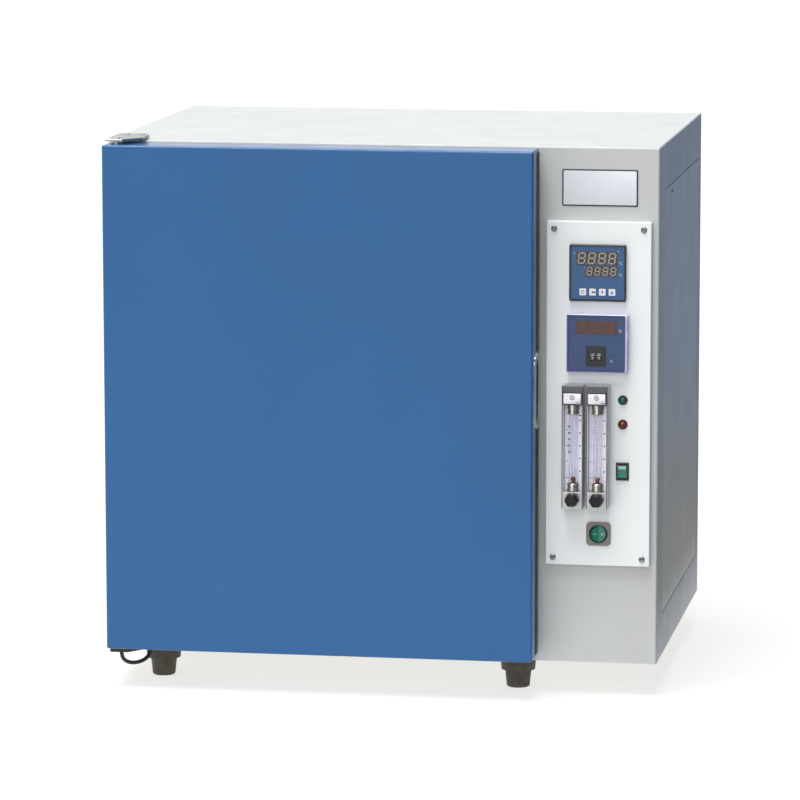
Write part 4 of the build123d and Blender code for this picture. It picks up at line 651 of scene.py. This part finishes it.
class INCUBATOR_OT_temperature(bpy.types.Operator):
    """Fit the temperature controller's displays, unit marks and key symbols"""
    bl_idname = "incubator.temperature"
    bl_label = "Temperature Controller"

    def execute(self, context):
        face = at(286.5, -260, 562.5)
        for name, width, height, x, z in (("upper", 0.0535, 0.0178, -0.0007, 0.0192),
                                          ("lower", 0.0425, 0.0136, 0.0050, 0.0022)):
            stack("temperature_window_" + name,
                  [(width, height, 0.0008, 0), (width, height, 0.0008, 0.00015)], face + x * RIGHT + z * UP,
                  "window_dark")
        large = [segment_digit(0.0097, 0.0150, 0.0017) + (-0.0207 + step * 0.01325, 0.0192)
                 for step in range(4)]
        small = [segment_digit(0.0074, 0.0108, 0.0012) + (-0.0106 + step * 0.01040, 0.0022)
                 for step in range(4)]
        points = [arc_band(0.0005, 0.0004, points=6, middle=(-0.0145 + step * 0.01325, 0.0122))
                  for step in range(3)]
        raised("temperature_digits", np.concatenate(large + small), PRINT_THICKNESS, BAR_THICKNESS, face,
               "segment_pale")
        raised("temperature_points", np.concatenate(points), PRINT_THICKNESS, BAR_THICKNESS, face,
               "segment_pale")
        marks = []
        for x, z in ((0.0300, 0.0130), (0.0300, -0.0022)):
            marks.append(arc_band(0.0006, 0.0003, middle=(x - 0.0018, z + 0.0014)))
            marks.append(arc_band(0.0014, 0.0005, radians(50), radians(260), middle=(x + 0.0008, z)))
        marks.append(bars([(-0.0305, 0.0255), (-0.0160, 0.0065), (0.0270, 0.0285)], 0.0022,
                          0.0009).reshape(-1, 4, 2))
        raised("temperature_marks", np.concatenate(marks), 0, PRINT_THICKNESS, face, "white_print")
        up = np.array([(-0.0016, -0.0013), (0.0016, -0.0013), (0.0002, 0.0014), (-0.0002, 0.0014)])
        left = up[:, ::-1] * (-1, 1)
        symbols = [arc_band(0.0018, 0.0007, radians(30), radians(290), points=12),
                   np.stack([left, left + (0.0026, 0)]),
                   np.concatenate([[-up], bars([(0, 0.0020)], 0.0009, 0.0018)]),
                   np.concatenate([[up], bars([(0, -0.0020)], 0.0009, 0.0018)])]
        for number, shapes in enumerate(symbols, 1):
            low, high = corners(f"set_key_{number}")
            middle = (low + high) / 2
            middle[1] = low[1]
            raised(f"key_symbol_{number}", shapes, 0, 0.0001, middle, "dark_print_and_shade",
                   body=f"set_key_{number}")
        return {"FINISHED"}


class INCUBATOR_OT_gas(bpy.types.Operator):
    """Fit the gas controller's display, percent marks and thumbwheel figures"""
    bl_idname = "incubator.gas"
    bl_label = "Gas Controller"

    def execute(self, context):
        face = at(287, -266, 471)
        stack("gas_window", [(0.0540, 0.0174, 0.0010, 0), (0.0540, 0.0174, 0.0010, 0.0002)],
              face - 0.0008 * RIGHT + 0.0210 * UP, "window_red")
        digits = [segment_digit(0.0088, 0.0128, 0.0014) + (-0.0208 + step * 0.0128, 0.0210)
                  for step in range(4)]
        raised("gas_digits", np.concatenate(digits), 0.0001, 0.0003, face, "segment_dim")
        marks = []
        for x, z in ((0.0302, 0.0170), (0.0190, -0.0225)):
            slash = np.array([(-0.0016, -0.0016), (-0.0012, -0.0016), (0.0016, 0.0016),
                              (0.0012, 0.0016)]) + (x, z)
            marks += [arc_band(0.0006, 0.0004, middle=(x - 0.0010, z + 0.0010)), slash[None],
                      arc_band(0.0006, 0.0004, middle=(x + 0.0010, z - 0.0010))]
        raised("gas_marks", np.concatenate(marks), 0, PRINT_THICKNESS, face, "white_print")
        for place in ("tens", "units"):
            low, high = corners("thumbwheel_" + place)
            middle, reach = (low + high) / 2, 0.0078
            wheel = []
            for figure in range(10):
                angle = 2 * pi * figure / 10
                outwards = cos(angle) * -BACK + sin(angle) * UP
                upwards = sin(angle) * BACK + cos(angle) * UP
                shapes = segment_digit(0.0030, 0.0044, 0.0009, 0)[list(LIT[figure])]
                wheel.append((shapes, middle + reach * cos(pi / 10) * outwards, (RIGHT, upwards, outwards)))
            local = [placed(np.dstack([shapes, np.full(shapes.shape[:2], out)]).reshape(-1, 3), origin,
                            view).reshape(-1, 6, 3) for out in (-0.0002, 0.0003) for shapes, origin,
                     view in wheel]
            half = len(local) // 2
            bottom, top = np.concatenate(local[:half]), np.concatenate(local[half:])
            points = np.stack([bottom, top], 1)
            faces = [[corner + number * 12 for corner in each] for number in range(len(points))
                     for each in ring_faces(2, 6)]
            mesh_object("thumbwheel_figures_" + place, points, faces, "thumbwheel_" + place, "white_print")
        return {"FINISHED"}


class INCUBATOR_OT_flowmeters(bpy.types.Operator):
    """Build the flowmeters' caps, tubes, fittings, scales and knobs"""
    bl_idname = "incubator.flowmeters"
    bl_label = "Flowmeters"

    def execute(self, context):
        case_low, case_high = corners("flowmeter_cases")
        tube_low, tube_high = corners("metering_tubes")
        for side, x in (("left", 257), ("right", 289)):
            stack(f"flow_top_{side}", [(0.0278, 0.0086, 0.0006, 0), (0.0278, 0.0086, 0.0006, 0.0029),
                                       (0.0268, 0.0076, 0.0004, 0.0033)], at(x, MOUNT_Y, 412.6), "cap_dark")
            # A rim round each cap plate, near-black as a painted shadow round the plate
            stack(f"flow_cap_shadow_rim_{side}", [(0.0264, 0.0170, 0.0010, 0), (0.0264, 0.0170, 0.0010, 0.0029),
                                           (0.0260, 0.0166, 0.0008, 0.0031)], at(x, MOUNT_Y, 400.2),
                  "dark_print_and_shade")
            stack(f"flow_cap_{side}", [(0.0226, 0.0132, 0.0006, 0.0028), (0.0226, 0.0132, 0.0006, 0.0034),
                                       (0.0220, 0.0126, 0.0005, 0.0036)], at(x, MOUNT_Y, 400.3),
                  "cap_metal")
            raised(f"flow_edges_{side}",
                   bars([(-0.0133, 0), (0.0133, 0)], 0.0012, case_high[2] - case_low[2] - 0.0030), -0.0003,
                   0.0003, at(x, MOUNT_Y, (case_low[2] + case_high[2]) / 2 / MM), "cap_dark")
            cap = at(x, MOUNT_Y - 3.6, 402.0)
            raised(f"flow_cap_ring_{side}",
                   np.concatenate([arc_band(0.0030, 0.0008, points=24),
                                   arc_band(0.0011, 0.0009, points=12)]), 0, 0.0002, cap, "dark_print_and_shade")
            raised(f"flow_cap_mark_{side}", bars([(0.0078, -0.0068)], 0.0045, 0.0007), -0.0002, 0.0002, cap,
                   "dark_print_and_shade")
            spine = np.array([x * MM, (tube_low[1] + tube_high[1]) / 2, tube_low[2]])
            length = tube_high[2] - tube_low[2]
            back = at(x, 0, 337) * (1, 0, 1) + (tube_high[1] - 0.0012) * BACK
            # Each scale plate glows faintly: painted light
            plate = stack(f"flow_scale_{side}",
                          [(0.0236, length, 0.0005, -0.0008), (0.0236, length, 0.0005, 0)], back,
                          "scale_plate_glowing")
            if side == "left":
                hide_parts("metering_tubes")
            sleeve(f"flow_tube_{side}", [(0.0045, 0), (0.0058, 0), (0.0058, length), (0.0045, length)],
                   spine, "tube_glass", view=TOP_VIEW)
            for end, base, tall in (("lower", 0.0, 0.0105), ("upper", length - 0.0185, 0.0185)):
                sleeve(f"flow_fitting_{end}_{side}", [(0.0058, 0), (0.0070, 0), (0.0076, 0.0006),
                                                      (0.0076, 0.0035), (0.0068, 0.0040), (0.0068, 0.0062),
                                                      (0.0076, 0.0067), (0.0076, tall - 0.0007),
                                                      (0.0070, tall), (0.0058, tall)], spine + base * UP,
                       "fitting_olive", view=TOP_VIEW)
                raised(f"flow_glint_{end}_{side}",
                       bars([(-0.0005, base + tall / 2)], 0.0022, tall - 0.0020), 0.0073, 0.0078, spine,
                       "cap_metal")
            rise = np.arange(SCALE_TICKS) * TICK_STEP + 0.0165
            ticks = [bars(np.column_stack([np.full(len(rise), -0.0080), rise]), 0.0012, 0.0005),
                     bars(np.column_stack([np.full(5, -0.0085), rise[::5]]), 0.0030, 0.0007),
                     bars(np.column_stack([np.full(5, 0.0080), rise[2::4]]), 0.0020, 0.0017)]
            if side == "left":
                ticks.append(bars([(0.0080, 0.0985)], 0.0040, 0.0013))
                ticks.append(bars(np.column_stack([np.full(5, -0.0066), rise[8:18:2]]), 0.0023, 0.0032))
            raised(f"flow_ticks_{side}", np.concatenate(ticks), 0, 0.0002, back - length / 2 * UP,
                   "dark_print_and_shade")
            dots = bars([(0, 0.014 + step * DOT_STEP) for step in range(SCALE_DOTS)], 0.0007, 0.0006)
            raised(f"flow_dots_{side}", dots, 0.0057, 0.0059, spine, "dark_print_and_shade")
            # A lip under each window, made near-white as a painted highlight of the light it catches
            raised(f"flow_sill_highlight_{side}", bars([(0, 0)], 0.0236, 0.0012), -0.0004, 0.0004,
                   at(x, MOUNT_Y, 276.4), "sill_highlight_white")
            knob_low, knob_high = corners("flow_knob_" + side)
            reach = (knob_high[0] - knob_low[0]) / 2
            origin = (knob_low + knob_high) / 2
            origin[1] = MOUNT_Y * MM
            length = origin[1] - knob_low[1]
            out, share, lobes = np.array(KNOB_PROFILE).T[..., None]
            out = out * length
            angle = 2 * pi * np.arange(KNOB_POINTS)[None] / KNOB_POINTS
            radius = reach * share * (1 - 0.075 * lobes * (1 - np.cos(6 * angle)) ** 1.5 / 2.83)
            local = np.stack([radius * np.cos(angle), radius * np.sin(angle), out + 0 * angle],
                             -1).reshape(-1, 3)
            knob = mesh_object(f"flow_grip_{side}", placed(local, origin, FRONT_VIEW),
                               ring_faces(len(KNOB_PROFILE), KNOB_POINTS), "flow_knob_" + side,
                               "knob_black", 40)
            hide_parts("flow_knob_" + side)
        return {"FINISHED"}


class INCUBATOR_OT_switches(bpy.types.Operator):
    """Build the lamps' lenses and collars and mark the main switch"""
    bl_idname = "incubator.switches"
    bl_label = "Lamps and Switches"

    def execute(self, context):
        for name in ("green", "red"):
            low, high = corners("lamp_" + name)
            origin = (low + high) / 2
            origin[1] = -0.255
            rise = origin[1] - low[1]
            reach = (high[0] - low[0]) / 2
            angle = np.linspace(0, pi / 2, 9)
            dome = [(reach * 0.66 * max(cos(turn), 0.04), 0.0008 + (rise - 0.0008) * sin(turn))
                    for turn in angle]
            lens = turned(f"lamp_{name}_lens", [(reach * 0.66, 0), *dome], origin, "lens_" + name)
            collar = [(reach, 0), (reach, 0.0008), (reach * 0.93, 0.0017), (reach * 0.72, 0.0017),
                      (reach * 0.67, 0.0006)]
            sleeve(f"lamp_{name}_collar", collar, origin, "collar_" + name)
            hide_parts("lamp_" + name)
        low, high = corners("main_rocker")
        middle = (low + high) / 2
        plate = np.array([middle[0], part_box("main_switch")[0][1], middle[2]])
        ring = [(0.0108, 0), (0.0108, 0.0008), (0.0112, 0.0011), (0.0120, 0.0009), (0.0123, 0)]
        sleeve("main_switch_ring", ring, plate, "ring_dark", points=64)
        tilt, slope = radians(8), np.arctan2(2.0, 9.53)
        forward = np.array([sin(tilt), -cos(tilt), 0])
        across = np.array([cos(tilt), sin(tilt), 0])
        pivot = at(289, -255.5, 218.5)
        for side, name, shapes in ((-1, "off_bar", bars([(0, 0)], 0.0036, 0.0009)),
                                   (1, "on_ring", arc_band(0.0014, 0.0006, points=20))):
            out = cos(slope) * forward - side * sin(slope) * across
            right = side * sin(slope) * forward + cos(slope) * across
            raised("main_switch_" + name, shapes, -0.0001, 0.00015,
                   pivot + 0.00345 * forward + side * 0.005 * across, "mark_pale",
                   view=(right, UP, out), body="main_rocker")
        return {"FINISHED"}


class INCUBATOR_OT_stage(bpy.types.Operator):
    """Set up the camera, the soft lights and the pale floor"""
    bl_idname = "incubator.stage"
    bl_label = "Studio"

    def execute(self, context):
        stage = context.scene.incubator_stage
        camera = bpy.data.objects.new("camera", bpy.data.cameras.new("camera"))
        camera.data.lens = stage.camera_lens
        camera.data.sensor_width = SENSOR_WIDTH
        camera.data.clip_end = 100
        camera.location = stage.camera_place
        camera.rotation_euler = (pi / 2 - stage.camera_pitch, stage.camera_roll, stage.camera_yaw)
        context.scene.collection.objects.link(camera)
        context.scene.camera = camera
        recipe = Recipe("floor_paper")
        recipe.base(recipe.blend(recipe.ramp(recipe.noise(0.6, 2), 0.3, 0.7), (0.25, 0.25, 0.25, 1),
                                 (0.265, 0.265, 0.265, 1)))
        recipe.sockets(Roughness=0.9, Specular_IOR_Level=0.1, Emission_Color=(1, 0.985, 0.955, 1),
                       Emission_Strength=stage.glow)
        for name, left, right in (("floor", -FLOOR_SIDE, LIT_FLOOR_END),
                                  ("floor_right", LIT_FLOOR_END, FLOOR_SIDE)):
            mesh = bpy.data.meshes.new(name)
            mesh.from_pydata([(left, -20, 0), (right, -20, 0), (right, 60, 0), (left, 60, 0)], [],
                             [(0, 1, 2, 3)])
            floor = bpy.data.objects.new(name, mesh)
            floor.data.materials.append(finishes["floor_paper"])
            context.scene.collection.objects.link(floor)
        floor.visible_diffuse = floor.visible_glossy = False
        world = bpy.data.worlds.new("studio")
        world.use_nodes = True
        self.surround(world.node_tree, stage)
        context.scene.world = world
        overhead = bpy.data.lights.new("overhead", "SUN")
        overhead.energy, overhead.angle = stage.overhead, radians(35)
        front = bpy.data.lights.new("front", "AREA")
        front.energy, front.size = stage.front, 1.6
        for lamp, place, aim in ((overhead, (-1.0, -1.2, 4.0), (0.12, 0.30, -1.0)),
                                 (front, (0.2, -3.4, 1.7), (0.0, 0.93, -0.37))):
            light = bpy.data.objects.new(lamp.name, lamp)
            light.location = place
            light.rotation_euler = Vector(aim).to_track_quat("-Z", "Y").to_euler()
            context.scene.collection.objects.link(light)
        context.scene.view_settings.view_transform = "Standard"
        return {"FINISHED"}

    def surround(self, tree, stage):
        """Light by direction: white and strongest overhead, but on the right dim blue above dim brown."""
        def node(kind, values, **settings):
            made = tree.nodes.new("ShaderNode" + kind)
            for name, value in settings.items():
                setattr(made, name, value)
            for socket, value in values.items():
                if isinstance(value, bpy.types.NodeSocket):
                    tree.links.new(value, made.inputs[socket])
                else:
                    made.inputs[socket].default_value = value
            return made
        direction = node("SeparateXYZ", {0: tree.nodes.new("ShaderNodeTexCoord").outputs["Object"]})
        height = node("MapRange",
                      {0: direction.outputs[2], 1: -0.02, 2: 1.0, 3: stage.low_sky, 4: stage.sky},
                      interpolation_type="SMOOTHSTEP")
        below = node("MapRange", {0: direction.outputs[2], 1: -0.06, 2: 0.0, 3: 1.0, 4: 0.0})
        right = node("MapRange", {0: direction.outputs[0], 1: -0.04, 2: 0.12},
                     interpolation_type="SMOOTHSTEP")
        behind = node("MapRange", {0: direction.outputs[1], 1: 0.3, 2: 0.8},
                      interpolation_type="SMOOTHSTEP")
        wall = node("Math", {0: below.outputs[0], 1: behind.outputs[0]}, operation="MAXIMUM")
        bright = node("Mix", {0: wall.outputs[0], 2: height.outputs[0], 3: 1.05})
        white = node("Mix", {0: 1.0, 6: bright.outputs[0], 7: (0.99, 1, 1, 1)}, data_type="RGBA",
                     blend_type="MULTIPLY")
        low = node("MapRange", {0: direction.outputs[2], 1: -0.174, 2: -0.139, 3: 1.0, 4: 0.0})
        dim = node("Mix", {0: low.outputs[0], 6: colour(stage.dusk), 7: colour(stage.low_dusk)},
                   data_type="RGBA")
        dusk = node("Mix", {0: right.outputs[0], 6: white.outputs[2], 7: dim.outputs[2]}, data_type="RGBA")
        tree.links.new(dusk.outputs[2], tree.nodes["Background"].inputs["Color"])


class INCUBATOR_PT_sidebar(bpy.types.Panel):
    """Lists the steps in the sidebar"""
    bl_label = "Incubator"
    bl_space_type = "VIEW_3D"
    bl_region_type = "UI"
    bl_category = "Incubator"

    def draw(self, context):
        for step in STEPS:
            self.layout.operator(step.bl_idname)


STEPS = [INCUBATOR_OT_finishes, INCUBATOR_OT_stage, INCUBATOR_OT_lead, INCUBATOR_OT_door,
         INCUBATOR_OT_panel, INCUBATOR_OT_temperature, INCUBATOR_OT_gas, INCUBATOR_OT_flowmeters,
         INCUBATOR_OT_switches]
GROUPS = {"incubator_finish": IncubatorFinish, "incubator_stage": IncubatorStage}


def register():
    for group in GROUPS.values():
        bpy.utils.register_class(group)
    for step in [*STEPS, INCUBATOR_PT_sidebar]:
        bpy.utils.register_class(step)
    for name, group in GROUPS.items():
        setattr(bpy.types.Scene, name, bpy.props.PointerProperty(type=group))


def unregister():
    for name in GROUPS:
        delattr(bpy.types.Scene, name)
    for step in [INCUBATOR_PT_sidebar, *reversed(STEPS)]:
        bpy.utils.unregister_class(step)
    for group in reversed(GROUPS.values()):
        bpy.utils.unregister_class(group)


def main():
    register()
    for step in STEPS:
        family, action = step.bl_idname.split(".")
        getattr(getattr(bpy.ops, family), action)()


if __name__ == "__main__":
    main()
